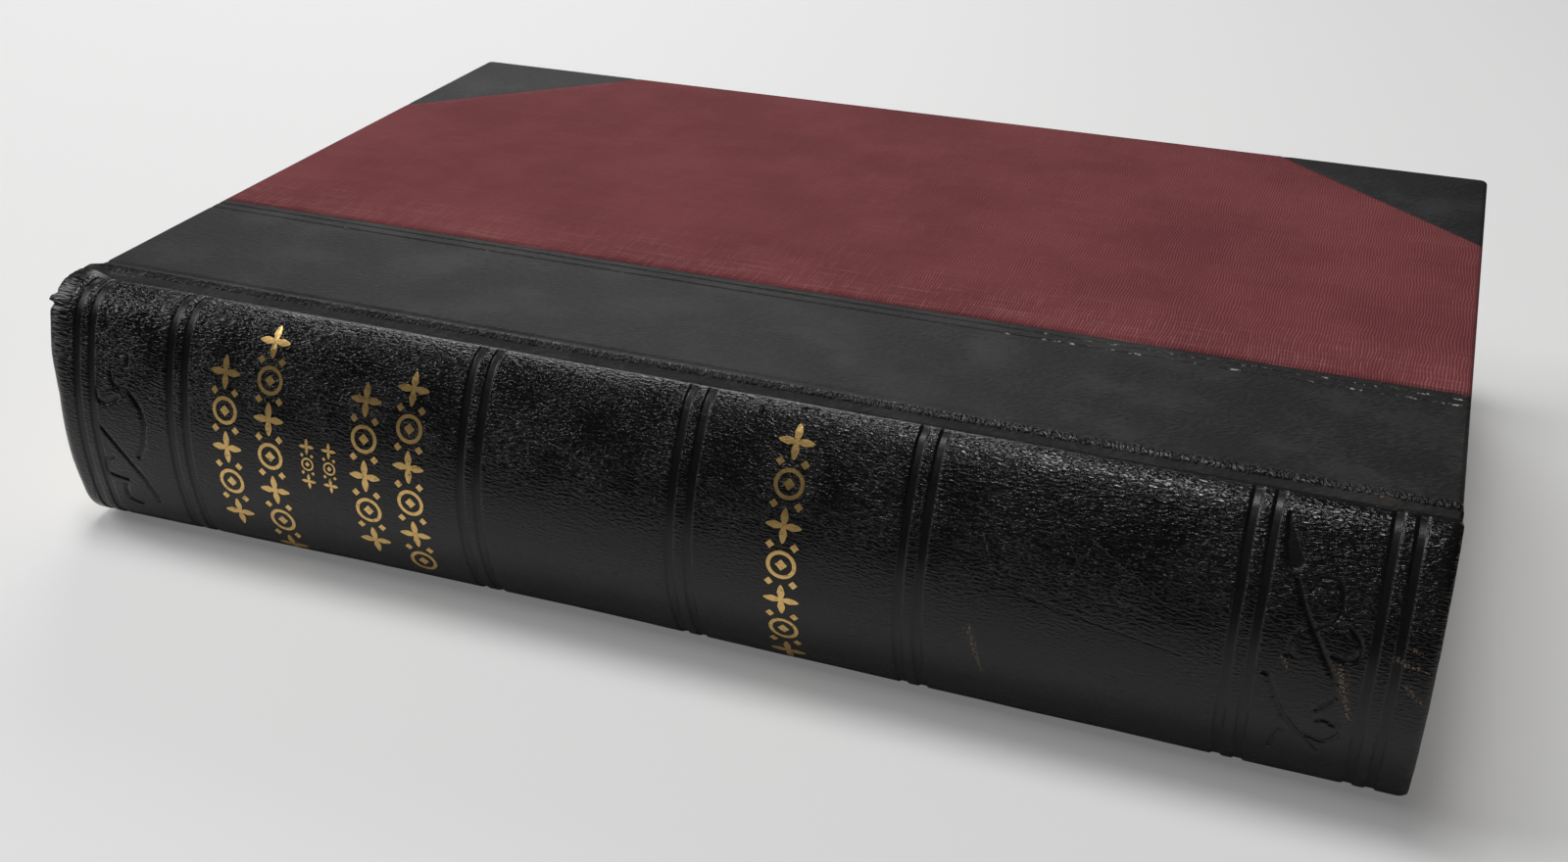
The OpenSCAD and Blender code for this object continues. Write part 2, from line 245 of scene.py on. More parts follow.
# Glossy black leather of the spine, with a ripple grain that the tooling presses flat
spineLeatherLook = {
    "black": (0.0034, 0.0034, 0.0038, 1),
    "brownish": (0.0062, 0.0056, 0.0053, 1),
    "worn": (0.18, 0.125, 0.078, 1),
    "scratched": (0.10, 0.09, 0.08, 1),
    "cell": (1.15, 0.40),  # millimetres along and across the spine
    "ripplePitch": 0.85,
    "rippleShare": 0.36,
    "rubbedFrom": (24, 36),  # across the spine, where the grain fades
    "rubbedGrain": 0.42,
    "grainDepth": 0.12 * mm,
    # start and end of each mark along and across the spine, and its width
    "scratches": [(-32.4, 5.7, -24.2, 10.9, 0.2), (-0.1, 9.2, 11.8, 11.5, 0.16),
                  (56.5, 21.2, 58.1, 25.1, 0.3), (60.1, 22.7, 60.7, 24.6, 0.2),
                  (73.4, 18.8, 85.8, 26.7, 0.16), (-116, 11.1, -115, 14.1, 0.35),
                  (-12, 23.3, -21.9, 19.9, 0.3), (-65.4, 11.3, -53.8, 16.4, 0.16),
                  (18.8, 13.6, 27.3, 21.6, 0.15), (66.1, 13.7, 72.4, 23.7, 0.15),
                  (78.7, 27.7, 91, 30.7, 0.16)],
    "creases": [(63.3, 29.6, 88.9, 34.3, 0.5), (-119.8, 39.6, -122.5, 52.2, 0.7)],
    "scuffs": [(55.6, 37.8, 57.9, 47.3, 2.0), (112.2, 31, 114.6, 39.6, 2.6),
               (103.7, 31, 104.8, 32.6, 1.4), (119.6, 27.6, 124.1, 28.6, 2.0),
               (121.2, 25.4, 123.6, 26.2, 1.2), (121.7, 31.6, 124.2, 34, 1.8),
               (-113.4, 10.9, -112.4, 12.1, 0.7), (-119, 1.2, -113, 1.4, 0.8),
               (113, 2.8, 116, 2.8, 1.3), (117, 2.8, 119, 2.8, 1.2), (58.9, 3.3, 94.3, 3.3, 0.45),
               (-36, 3, -33.2, 3, 0.8), (125, 6, 125, 30, 0.7), (-127.6, 14, -126.4, 44, 0.5),
               (-128.6, 11.4, -127.8, 13.2, 1.6)],
}


def spineLeatherMaterial():
    look = spineLeatherLook
    material, tree = startMaterial("spineLeather", Specular_IOR_Level=0.33)
    place = sheetMap(tree)
    warp = noiseAt(place, 0.55, 2.0)
    bent = vectorCalc("ADD", place, joined(times(warp, 0.6), times(warp, 0.9)))[0]
    cells = stretched(bent, (1 / look["cell"][0], 1 / look["cell"][1], 1))
    pebble = remap(noiseAt(cells, 1.0, 1.2, 0.5, 0.35), 0.36, 0.62)
    drift = noiseAt(stretched(place, (0.42, 0.30, 1)), 1.0, 1.0)
    phase = plus(calc("DIVIDE", part(place, 1), look["ripplePitch"]), times(drift, 2.4))
    ripple = calc("MULTIPLY_ADD", sineWave(phase, 1), 0.5, 0.5)
    grain = mixValue(look["rippleShare"], pebble, times(ripple, plus(pebble, 0.35)))
    pores = times(noiseAt(place, 5.0, 3.0), 0.04)
    patchy = noiseAt(place, 0.09, 3.0)
    pressed = addNode(tree, "Attribute", attribute_name="pressed").outputs["Fac"]
    rubbed = remap(part(bent, 1), *look["rubbedFrom"], 1.0, look["rubbedGrain"])
    raised = calc("SUBTRACT", 1.0, pressed, clamp=True)
    raised = times(times(raised, remap(patchy, 0.35, 0.62, 0.55, 1.0)), rubbed)
    scuff = flecks(place, strokes(place, look["scuffs"]))
    scratch = times(remap(strokes(bent, look["scratches"]), 0.15, 0.7),
                    remap(noiseAt(place, 1.7, 2.0), 0.38, 0.6))
    specks = remap(noiseAt(place, 1.9, 2.0), 0.74, 0.80)
    base = mixColour(remap(patchy, 0.3, 0.7), look["black"], look["brownish"])
    base = mixColour(scuff, base, look["worn"])
    base = mixColour(times(scratch, 0.45), base, look["scratched"])
    base = mixColour(times(specks, 0.25), base, look["worn"])
    rough = plus(remap(grain, 0.0, 1.0, 0.20, 0.11), pores, times(remap(patchy, 0.4, 0.65), 0.04),
                 times(calc("MAXIMUM", scuff, scratch), 0.3), times(pressed, 0.16))
    height = minus(plus(times(grain, raised), pores), times(strokes(place, look["creases"]), 0.5))
    height = minus(height, times(scratch, 0.3))
    return finishMaterial(material, base, height, look["grainDepth"], rough)


# Matt leather of the board strips and corners, with blind lines that are rubbed bright in places
coverLeatherLook = {
    "black": (0.008, 0.008, 0.0078, 1),
    "grey": (0.024, 0.024, 0.0235, 1),
    "rubbed": (0.42, 0.40, 0.36, 1),
    "worn": (0.18, 0.125, 0.078, 1),
    "rims": (2.15, 4.85),  # rubbed rims of the blind lines, millimetres before the cloth
    "rimHalf": (0.22, 0.10),
    "grainDepth": 0.12 * mm,
    "scuffs": [(-119, -0.9, -113, -0.9, 0.7), (-34, 0.6, -31, 0.6, 0.7), (55, -0.4, 95, -0.4, 0.4),
               (112, -0.5, 117.5, -0.5, 1.0), (123.6, 41.4, 127, 41.8, 0.9),
               (123.9, 22, 124.6, 38, 0.35)],
}


def coverLeatherMaterial(name, onStrip):
    look = coverLeatherLook
    material, tree = startMaterial(name, Specular_IOR_Level=0.2)
    place = sheetMap(tree)
    warped = vectorCalc("ADD", place, joined(noiseAt(place, 0.8, 2.0), noiseAt(place, 0.6, 2.0)))[0]
    slanted = fedNode("Mapping", {"Vector": warped, "Rotation": (0, 0, -0.42)}).outputs[0]
    cells = {"Vector": stretched(slanted, (0.85, 2.7, 1)), "Scale": 1.0, "Smoothness": 0.4}
    wrinkle = fedNode("TexVoronoi", cells, feature="SMOOTH_F1").outputs["Distance"]
    calm = remap(noiseAt(place, 0.06, 2.0), 0.35, 0.6, 0.45, 1.0)
    wrinkle = times(times(wrinkle, calm), -0.9)
    fine = noiseAt(place, 6.0, 3.0)
    # painted shade: the colour is darker in the wrinkles' creases, laid over a tone that varies at random
    shade = plus(times(noiseAt(place, 0.05, 4.0, 0.6), 0.9), wrinkle)
    base = mixColour(remap(shade, -0.05, 0.45), look["black"], look["grey"])
    specks = remap(noiseAt(place, 2.3, 1.0), 0.79, 0.83)
    base = mixColour(times(specks, 0.35), base, look["rubbed"])
    rough = plus(0.54, times(fine, 0.14))
    height = plus(wrinkle, times(fine, 0.2))
    if onStrip:
        across, rims = part(place, 1), 0.0
        for line in look["rims"]:
            away = calc("ABSOLUTE", minus(across, book["clothU"] / mm - line))
            rims = calc("MAXIMUM", rims, remap(away, *look["rimHalf"]))
        broken = noiseAt(stretched(place, (0.42, 1.2, 1)), 1.0, 4.0, 0.8)
        towardsTail = remap(part(place, 0), 25, 60, 0.0, 0.11)  # the flecks are thickest there
        rimFlecks = times(rims, remap(plus(broken, towardsTail), 0.66, 0.72))
        base = mixColour(times(rimFlecks, 0.85), base, look["rubbed"])
        scuff = flecks(place, strokes(place, look["scuffs"]))
        base = mixColour(times(scuff, 0.6), base, look["worn"])
        hinge = remap(calc("ABSOLUTE", minus(across, 0.3)), 0.95, 0.55)
        rough = minus(rough, times(hinge, 0.33))
        folds = remap(noiseAt(stretched(slanted, (1.9, 0.9, 1)), 1.0, 1.5), 0.38, 0.62)
        height = mixValue(hinge, height, times(folds, 1.5))
        inValley = remap(across, -0.7, -1.2)
        height = times(height, minus(1.0, times(inValley, 0.8)))
    return finishMaterial(material, base, height, look["grainDepth"], rough)


# Maroon book cloth: fine ribs that run across the board, with slubs and paler threads
clothLook = {
    "maroon": (0.185, 0.047, 0.051, 1),
    "dark": (0.145, 0.034, 0.038, 1),
    "thread": (0.36, 0.165, 0.155, 1),
    "ribPitch": 0.55,  # millimetres
    "threadPitch": 0.40,
    "ribDepth": 0.10 * mm,
    "rubbedWidth": 26,  # beside the leather, where paler threads show most
}


def clothMaterial():
    look = clothLook
    material, tree = startMaterial("bookCloth", Roughness=0.85, Specular_IOR_Level=0.12)
    place = sheetMap(tree)
    along, across, edge = part(place, 0), part(place, 1), book["clothU"] / mm
    rib = sineWave(plus(along, times(noiseAt(place, 0.10, 3.0), 2.2)), look["ribPitch"])
    weft = sineWave(plus(across, times(noiseAt(place, 0.07, 2.0), 2.6)), look["threadPitch"])
    ribThread = noiseAt(stretched(place, (1.9, 0.10, 1)), 1.0, 3.0, 0.7)
    slub = noiseAt(stretched(place, (0.055, 1.5, 1)), 1.0, 4.0, 0.65)
    cloud = noiseAt(place, 0.035, 4.0, 0.6)
    base = mixColour(remap(cloud, 0.3, 0.7), look["dark"], look["maroon"])
    nearLeather = remap(across, edge + look["rubbedWidth"], edge, 0.25, 1.0)
    slubs = times(remap(slub, 0.52, 0.70), nearLeather)
    base = mixColour(times(slubs, 0.42), base, look["thread"])
    threads = times(times(remap(ribThread, 0.45, 0.7), nearLeather), remap(rib, 0.0, 0.8))
    base = mixColour(times(threads, 0.5), base, look["thread"])
    # painted shade: the colour is multiplied darker in the troughs between the ribs
    shade = remap(rib, -1.0, 0.4, 0.70, 1.0)
    base = mixColour(1.0, base, joined(shade, shade, shade), "MULTIPLY")
    height = plus(rib, times(weft, 0.35), times(slub, 1.6), times(noiseAt(place, 4.0, 2.0), 0.8))
    return finishMaterial(material, base, times(height, 0.35), look["ribDepth"])


goldLook = {"gold": (0.78, 0.52, 0.20, 1), "dull": (0.30, 0.19, 0.08, 1), "grainDepth": 0.06 * mm}


def goldMaterial():
    material, tree = startMaterial("goldLeaf", Metallic=1.0)
    place = sheetMap(tree)
    rubbed = noiseAt(place, 1.1, 4.0, 0.7)
    base = mixColour(remap(rubbed, 0.52, 0.72), goldLook["gold"], goldLook["dull"])
    rough = remap(rubbed, 0.3, 0.7, 0.30, 0.50)
    return finishMaterial(material, base, noiseAt(place, 3.6, 3.0), goldLook["grainDepth"], rough)


# Toned page edges: thin leaves on edge, darker and browner in streaks, with painted shade in the gaps
# between leaves
pagesLook = {
    "leaf": (0.74, 0.63, 0.45, 1),
    "toned": (0.55, 0.41, 0.25, 1),
    # painted shade between the leaves
    "gap": (0.30, 0.21, 0.12, 1),
    "leafPitch": 0.16,  # millimetres
    "leafDepth": 0.12 * mm,
}


def pagesMaterial():
    look = pagesLook
    material, tree = startMaterial("pageEdges", Roughness=0.85, Specular_IOR_Level=0.2)
    place = bookMap(tree)
    leaves = noiseAt(stretched(place, (0.02, 0.02, 1 / look["leafPitch"])), 1.0, 2.0)
    groups = noiseAt(stretched(place, (0.008, 0.008, 0.55)), 1.0, 3.0)
    stain = noiseAt(place, 0.03, 4.0)
    base = mixColour(remap(groups, 0.35, 0.7), look["leaf"], look["toned"])
    # painted shade in the gaps between the leaves, where the leaves' relief is low
    base = mixColour(times(remap(leaves, 0.5, 0.3), 0.55), base, look["gap"])
    base = mixColour(times(remap(stain, 0.5, 0.75), 0.4), base, look["toned"])
    return finishMaterial(material, base, leaves, look["leafDepth"])


def paperMaterial(name, plain, toned, tone=0.5, fibre=0.05 * mm):
    material, tree = startMaterial(name, Roughness=0.8, Specular_IOR_Level=0.25)
    place = bookMap(tree)
    ends = remap(calc("ABSOLUTE", part(place, 0)), 95, 122)  # toned towards head and tail
    cloud = times(noiseAt(place, 0.03, 4.0, 0.6), 0.35)
    base = mixColour(calc("ADD", times(ends, tone), cloud, clamp=True), plain, toned)
    specks = remap(noiseAt(place, 1.4, 3.0), 0.68, 0.75)
    base = mixColour(times(specks, 0.35), base, toned)
    return finishMaterial(material, base, noiseAt(place, 2.0, 4.0), fibre)


def wovenMaterial(name, light, dark, pitch, depth):
    material, tree = startMaterial(name, Roughness=0.85, Sheen_Weight=0.1, Specular_IOR_Level=0.2)
    place = bookMap(tree)
    weave = calc("MAXIMUM", sineWave(part(place, 0), pitch), sineWave(part(place, 2), pitch))
    return finishMaterial(material, mixColour(remap(weave, 0.2, 0.8), dark, light), weave, depth)


endbandLook = {
    "red": (0.33, 0.045, 0.04, 1),
    "cream": (0.68, 0.58, 0.40, 1),
    "soiled": (0.22, 0.13, 0.08, 1),
    "blockLength": 3.2,  # millimetres of one colour
    "threadDepth": 0.08 * mm,
}


def endbandMaterial():
    look = endbandLook
    material, tree = startMaterial("endbandSilk", Roughness=0.55, Sheen_Weight=0.2)
    place = bookMap(tree)
    blocks = sineWave(part(place, 2), 2 * look["blockLength"])
    base = mixColour(remap(blocks, -0.08, 0.08), look["red"], look["cream"])
    base = mixColour(remap(noiseAt(place, 0.4, 3.0), 0.45, 0.8), base, look["soiled"])
    return finishMaterial(material, base, noiseAt(place, 6.0, 2.0), look["threadDepth"])


finishes = {
    "spineLeather": spineLeatherMaterial(),
    "stripLeather": coverLeatherMaterial("stripLeather", True),
    "cornerLeather": coverLeatherMaterial("cornerLeather", False),
    "cloth": clothMaterial(),
    "gold": goldMaterial(),
    "pages": pagesMaterial(),
    "endpaper": paperMaterial("endpaper", (0.72, 0.64, 0.49, 1), (0.50, 0.38, 0.23, 1)),
    "kraft": paperMaterial("kraftPaper", (0.40, 0.27, 0.15, 1), (0.26, 0.16, 0.08, 1), 0.2),
    "card": paperMaterial("spineCard", (0.45, 0.34, 0.21, 1), (0.30, 0.21, 0.12, 1), 0.2, 0.1 * mm),
    "board": paperMaterial("bindersBoard", (0.36, 0.30, 0.22, 1), (0.25, 0.20, 0.14, 1), 0.2, 0.12 * mm),
    "mull": wovenMaterial("mullWeave", (0.78, 0.74, 0.64, 1), (0.36, 0.28, 0.17, 1), 1.1, 0.15 * mm),
    "tape": wovenMaterial("linenTape", (0.70, 0.64, 0.50, 1), (0.48, 0.41, 0.28, 1), 0.6, 0.08 * mm),
    "endband": endbandMaterial(),
}
print("materials made:", len(finishes))


# The CAD nodes that stay as they are get their finish
plainNodes = {
    "front_board": "board", "back_board": "board", "front_board_lining": "endpaper",
    "back_board_lining": "endpaper", "front_pastedown": "endpaper", "back_pastedown": "endpaper",
    "hollow_back_tube": "kraft", "spine_stiffener": "card", "mull": "mull", "sewing_tapes": "tape",
    "endband_head": "endband", "endband_tail": "endband",
}
for name, finish in plainNodes.items():
    frame["nodes"][name].data.materials.clear()
    frame["nodes"][name].data.materials.append(finishes[finish])


# Makes the finished piece of a bmesh and hangs it on its body
def finishPiece(name, bm, finish, body, replaced=(), wall=0.0, smooth=True):
    mesh = bpy.data.meshes.new(name)
    bm.to_mesh(mesh)
    bm.free()
    mesh.polygons.foreach_set("use_smooth", [smooth] * len(mesh.polygons))
    piece = bpy.data.objects.new(name, mesh)
    bpy.context.scene.collection.objects.link(piece)
    piece.data.materials.append(finishes[finish])
    if wall:
        thickness = piece.modifiers.new("wall", "SOLIDIFY")
        thickness.thickness = wall
        thickness.offset = -1
    if body:
        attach(piece, body)
    if replaced:
        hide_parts(*replaced)
    print("made", name, len(mesh.polygons), "faces")
    return piece


# Stations along a line: a start, then runs of (end, step)
def stations(start, *runs):
    places = [start]
    for end, step in runs:
        first = places[-1]
        count = max(1, round(abs(end - first) / step))
        places += [first + (end - first) * (i + 1) / count for i in range(count)]
    return places


# A flat grid whose columns and rows lie at chosen places
def flatSheet(columns, rows):
    bm = bmesh.new()
    bmesh.ops.create_grid(bm, x_segments=len(columns) - 1, y_segments=len(rows) - 1, size=1)
    lowX, highX = min(v.co.x for v in bm.verts), max(v.co.x for v in bm.verts)
    lowY, highY = min(v.co.y for v in bm.verts), max(v.co.y for v in bm.verts)
    for vert in bm.verts:
        column = round((vert.co.x - lowX) / (highX - lowX) * (len(columns) - 1))
        row = round((vert.co.y - lowY) / (highY - lowY) * (len(rows) - 1))
        vert.co = (columns[column], rows[row], 0)
    return bm


# Keeps the flat place as the sheet's map, then lays the sheet where place() says
def layOut(bm, place, pressed=None):
    uv = bm.loops.layers.uv.new("sheet")
    mark = bm.verts.layers.float.new("pressed") if pressed else None
    for face in bm.faces:
        for loop in face.loops:
            loop[uv].uv = (loop.vert.co.x / mm, loop.vert.co.y / mm)
    for vert in bm.verts:
        x, y = vert.co.x, vert.co.y
        if pressed:
            vert[mark] = pressed(x, y)
        vert.co = place(x, y)


def smoothStep(low, high, value):
    share = min(1.0, max(0.0, (value - low) / (high - low)))
    return share * share * (3 - 2 * share)


# Noise from 0 to 1
def uneven(place):
    return 0.5 + 0.5 * noise.noise(Vector(place))


# Over an edge and back under it: a quarter turn, the side, another quarter turn.
# Gives how far out and down the point lies, and how far the surface has turned.
def overEdge(share, height, radius):
    if share < 0.4:
        tilt = share / 0.4 * math.pi / 2
        return radius * math.sin(tilt), radius * (1 - math.cos(tilt)), tilt
    if share < 0.6:
        return radius, radius + (height - 2 * radius) * (share - 0.4) / 0.2, math.pi / 2
    tilt = math.pi / 2 * (1 + (share - 0.6) / 0.4)
    return radius * math.sin(tilt), height - radius - radius * math.cos(tilt), tilt


# A place along a sheet that is folded over an edge at limit: across, down, and how far the
# surface has turned. turnShare shortens the turned-in part.
def foldedPlace(value, limit, height, turnShare=1.0):
    flat = limit - book["foldRadius"]
    beyond = abs(value) - flat
    if beyond <= 0:
        return value, 0.0, 0.0
    side = math.copysign(1, value)
    if beyond >= overRun:
        return side * (flat - (beyond - overRun) * turnShare), height, math.pi
    out, down, tilt = overEdge(beyond / overRun, height, min(book["foldRadius"], height / 2 - 0.02 * mm))
    return side * (flat + out), down, tilt


overRun = math.pi * book["foldRadius"] + book["coverH"] - 2 * book["foldRadius"]
faceEnd = book["endX"] - book["foldRadius"]
turnRun = book["turnIn"] - book["foldRadius"]


# Stations of the fold and the turned-in part beyond an edge at limit
def foldStations(limit):
    first = limit - book["foldRadius"]
    bend = overRun * 0.4
    return stations(first, (first + bend, bend / 5), (first + overRun * 0.6, overRun * 0.1),
                    (first + overRun, bend / 5), (first + overRun + turnRun, book["turnStep"]))


# Stations from the turned-in head to the turned-in tail
def coverColumns(step):
    ends = foldStations(book["endX"])
    return [-c for c in reversed(ends)] + stations(-faceEnd, (faceEnd, step))[1:-1] + ends


# A sheet laid where place() says on the front cover, or mirrored onto the back one
def coverSheet(columns, rows, place, front):
    def placed(x, u):
        outX, outY, z = place(x, u)
        return outX, outY, z if front else faceZ - z

    bm = flatSheet(columns, rows)
    layOut(bm, placed)
    if not front:
        bmesh.ops.reverse_faces(bm, faces=bm.faces[:])
    return bm


# Section of the rounded spine. Towards the head the back is flatter, with a fuller shoulder.
spineShape = {
    "shoulderRadius": 7.6 * mm,
    "shoulderDrop": 0.7 * mm,
    "shoulderIn": (2.6 * mm, 5.65 * mm),  # where the shoulder stands highest, at middle and head
    "headFrom": -20 * mm,  # the section changes from here to the head
    "valleyRadius": 2.4 * mm,
    "valleyDepth": 1.5 * mm,
    "leather": 0.8 * mm,
    "edge": 2.05 * mm,  # where the leather begins, along the section
    "softening": 0.45 * mm,
    "steps": 1400,
}


def arcPoints(centre, radius, start, end, step=0.05 * mm):
    count = max(2, round(abs(end - start) * radius / step))
    angles = [start + (end - start) * i / count for i in range(count + 1)]
    return [Vector((centre[0] + radius * math.cos(a), centre[1] + radius * math.sin(a))) for a in angles]


# A line of points at even steps, and its length
def evenly(points, count):
    runs = [0.0]
    for first, second in zip(points, points[1:]):
        runs.append(runs[-1] + (second - first).length)
    made, k = [], 0
    for i in range(count + 1):
        at = runs[-1] * i / count
        while runs[k + 1] < at and k < len(runs) - 2:
            k += 1
        made.append(points[k].lerp(points[k + 1], (at - runs[k]) / (runs[k + 1] - runs[k])))
    return made, runs[-1]


def soften(points, reach, step):
    radius = int(3 * reach / step)
    weights = [math.exp(-0.5 * (i * step / reach) ** 2) for i in range(-radius, radius + 1)]
    made = []
    for i in range(len(points)):
        total, weight = Vector((0, 0)), 0.0
        room = min(i, len(points) - 1 - i, radius)
        for k in range(-room, room + 1):
            total += points[i + k] * weights[k + radius]
            weight += weights[k + radius]
        made.append(total / weight)
    return made


valleyRise = spineShape["valleyRadius"] - spineShape["valleyDepth"]
valleyHalf = math.sqrt(spineShape["valleyRadius"] ** 2 - (valleyRise + spineShape["shoulderDrop"]) ** 2)
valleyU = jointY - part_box("front_leather_strip")[0].y - valleyHalf


# Height of the shoulder's centre over the middle, and radius of the rounded back
def backArc(shoulderIn):
    shoulderR = spineShape["shoulderRadius"]
    shoulderZ = midZ - spineShape["shoulderDrop"] - shoulderR
    bulge = -book["spineU"] - shoulderIn
    return shoulderZ, (bulge ** 2 + shoulderZ ** 2 - shoulderR ** 2) / (2 * (bulge - shoulderR))


def spineSection(shoulderIn):
    valleyR, shoulderR = spineShape["valleyRadius"], spineShape["shoulderRadius"]
    shoulderZ, backR = backArc(shoulderIn)
    flat = math.asin(shoulderZ / (backR - shoulderR))
    turn = math.asin(valleyHalf / valleyR)
    valley = arcPoints((valleyU, midZ + valleyRise), valleyR, -math.pi / 2 + turn, -math.pi / 2 - turn)
    shoulder = arcPoints((-shoulderIn, shoulderZ), shoulderR, math.pi / 2, math.pi - flat)
    shoulder = [p for p in shoulder if p.x < valleyU - valleyHalf]
    back = arcPoints((backR + book["spineU"], 0), backR, math.pi - flat, math.pi)
    half = valley + shoulder + back[1:]
    whole = half + [Vector((p.x, -p.y)) for p in reversed(half[:-1])]
    points, length = evenly(whole, spineShape["steps"])
    return soften(points, spineShape["softening"], length / spineShape["steps"]), length


middleSection, spineRun = spineSection(spineShape["shoulderIn"][0])
headSection, headRun = spineSection(spineShape["shoulderIn"][1])
print("spine section", round(spineRun / mm, 2), "mm, at the head", round(headRun / mm, 2))


# Place and outward normal on the spine: x along it, s along its section from the front joint
def onSpine(x, s):
    steps = spineShape["steps"]
    share = min(1.0, max(0.0, (spineShape["headFrom"] - x) / (book["endX"] + spineShape["headFrom"])))
    at = min(max(s / spineRun * steps, 0.0), steps - 0.001)
    i = int(at)

    def between(k):
        return middleSection[k].lerp(headSection[k], share)

    point = between(i).lerp(between(i + 1), at - i)
    ahead = between(min(i + 6, steps)) - between(max(i - 5, 0))
    return point, Vector((ahead.y, -ahead.x)).normalized()


# Blind tooling of the spine: bands of two smooth stripes, and scrollwork at head and tail
tooling = {
    "bands": [-119.4, -98, -35.9, 4.5, 45.2, 97.7, 118.1],
    "bandPitch": 3.4,
    "stripeWidth": 1.6,
    "stripeDepth": 0.27,
    "scrollDepth": 0.32,
    "bandHalf": 2.9,  # a band with its slopes
    "scrollPanels": (108, 10),  # middle of the two panels that have scrolls, and half their length
    "scrollEdges": (99.5, 117),  # the mesh is finer between these, near the lines
    "scrollNear": 0.9,
    "scrollHalf": 0.38,  # of a line's width: the slope takes up the rest
    "rolls": ((0.07, 0.16), (0.35, 0.05)),  # unevenness of the back: how often, how deep
    # each line: width at its start, width at its end, and its points along and across the spine
    "scrolls": [
        (0.5, 3.4, [(101.3, 8.4), (102.1, 12.4), (103.2, 15.6)]),
        (0.9, 0.9, [(104, 18.3), (106, 23), (108.5, 27.3), (111, 31.7), (112, 33.6)]),
        (0.5, 0.9, [(106, 20), (106.6, 19), (107.6, 18.7), (108.8, 19)]),
        (0.8, 0.8, [(107.2, 17.4), (109.7, 17.4), (110.7, 19.3), (110.7, 21.8), (109.9, 23.8), (108, 25.2)]),
        (0.6, 0.6, [(107.7, 25.5), (109.7, 24.4), (111, 24.6)]),
        (0.8, 0.8, [(111, 24.6), (112.5, 24.2), (113.9, 25.5), (114.5, 27), (114.3, 28.4), (113, 29.4),
                    (110.7, 29)]),
        (0.5, 1.1, [(105.7, 25.7), (104.7, 27.8), (104.6, 30.2)]),
        (0.8, 0.5, [(111.6, 33.4), (112, 35), (111.8, 36.6), (109.8, 39.2)]),
        (0.6, 1.0, [(101.4, 34.2), (102.2, 34.5), (102.9, 36.2), (104.7, 40.6), (107.5, 44.7),
                    (110.7, 48.9)]),
        (0.6, 0.6, [(110.2, 41.4), (111.2, 40.9), (112.6, 41.7)]),
        (0.8, 0.8, [(108.8, 45.1), (111.3, 45.8), (112.7, 45), (113.7, 43.2), (113.4, 41.5)]),
        (0.6, 0.8, [(105.3, 45.3), (104.3, 47.8), (103.9, 50.5)]),
        (0.6, 0.8, [(-115.3, 12.2), (-114.4, 15.5)]),
        (0.8, 0.8, [(-111.4, 19.8), (-110.3, 19.5), (-109.3, 19.9), (-109.3, 21.5)]),
        (0.6, 0.8, [(-113.4, 23.3), (-112.8, 25.2), (-111.7, 26), (-109.6, 26.1)]),
        (0.6, 1.4, [(-116.8, 27.5), (-116.4, 29), (-114.6, 29.6), (-111.9, 28)]),
        (0.7, 1.0, [(-109.6, 26.1), (-107.3, 28.6), (-106.2, 31), (-106.2, 34), (-107, 37), (-108.5, 39.6)]),
        (0.7, 0.9, [(-116.7, 34.5), (-113.4, 38.2), (-109.7, 42.7), (-108, 45.4), (-106.4, 49.7)]),
        (0.8, 0.8, [(-114.7, 40.7), (-116.8, 42), (-117.3, 43.9), (-116.3, 44.9), (-112.6, 45.5)]),
        (0.8, 0.8, [(-113.4, 46.9), (-113.9, 49), (-113.3, 50.5), (-110.8, 51.2)]),
        (0.6, 0.8, [(-103.5, 7.8), (-103.7, 10.4), (-101.8, 13)]),
    ],
}


# A smooth line through chosen points, in steps
def smoothLine(points, step=0.1):
    made = []
    padded = [points[0]] + list(points) + [points[-1]]
    for a, b, c, d in zip(padded, padded[1:], padded[2:], padded[3:]):
        a, b, c, d = Vector(a), Vector(b), Vector(c), Vector(d)
        count = max(1, round((c - b).length / step))
        for i in range(count):
            t = i / count
            made.append(0.5 * (2 * b + (c - a) * t + (2 * a - 5 * b + 4 * c - d) * t ** 2
                               + (3 * b - a - 3 * c + d) * t ** 3))
    made.append(Vector(points[-1]))
    return made


# Points along every scroll line, each with half its width there
def scrollPoints():
    points = []
    for first, last, line in tooling["scrolls"]:
        made = smoothLine(line)
        widths = [first + (last - first) * i / len(made) for i in range(len(made))]
        points += [(p, tooling["scrollHalf"] * width) for p, width in zip(made, widths)]
    tree = kdtree.KDTree(len(points))
    for i, (point, half) in enumerate(points):
        tree.insert((point.x, point.y, 0), i)
    tree.balance()
    return tree, [half for point, half in points]


scrollTree, scrollHalves = scrollPoints()


# Distance in millimetres from the edge of the nearest scroll line, below 0 inside it
def scrollGap(x, s):
    near = scrollTree.find_n((x / mm, s / mm, 0), 12)
    return min(distance - scrollHalves[i] for place, i, distance in near)


# How deep the tooling presses at a place, as a share of the stripes' depth
def stripeShare(x, s):
    edge = smoothStep(3.4 * mm, 5.0 * mm, s) * smoothStep(3.4 * mm, 5.0 * mm, spineRun - s)
    best, half = 0.0, tooling["stripeWidth"] / 2
    for place in tooling["bands"]:
        wobble = 0.12 * noise.noise(Vector((place, s / mm * 0.09, 3)))
        for side in (-0.5, 0.5):
            gap = abs(x / mm - place - wobble - side * tooling["bandPitch"])
            best = max(best, 1 - smoothStep(half - 0.18, half + 0.14, gap))
    return best * edge


def scrollShare(x, s):
    middle, half = tooling["scrollPanels"]
    if abs(abs(x / mm) - middle) > half:
        return 0.0
    return 1 - smoothStep(-0.10, 0.20, scrollGap(x, s))


def spineSink(x, s):
    place = Vector((x / mm, s / mm, 0))
    sink = tooling["stripeDepth"] * stripeShare(x, s) + tooling["scrollDepth"] * scrollShare(x, s)
    roll = sum(deep * uneven(place * often) for often, deep in tooling["rolls"])
    return (sink + roll) * mm


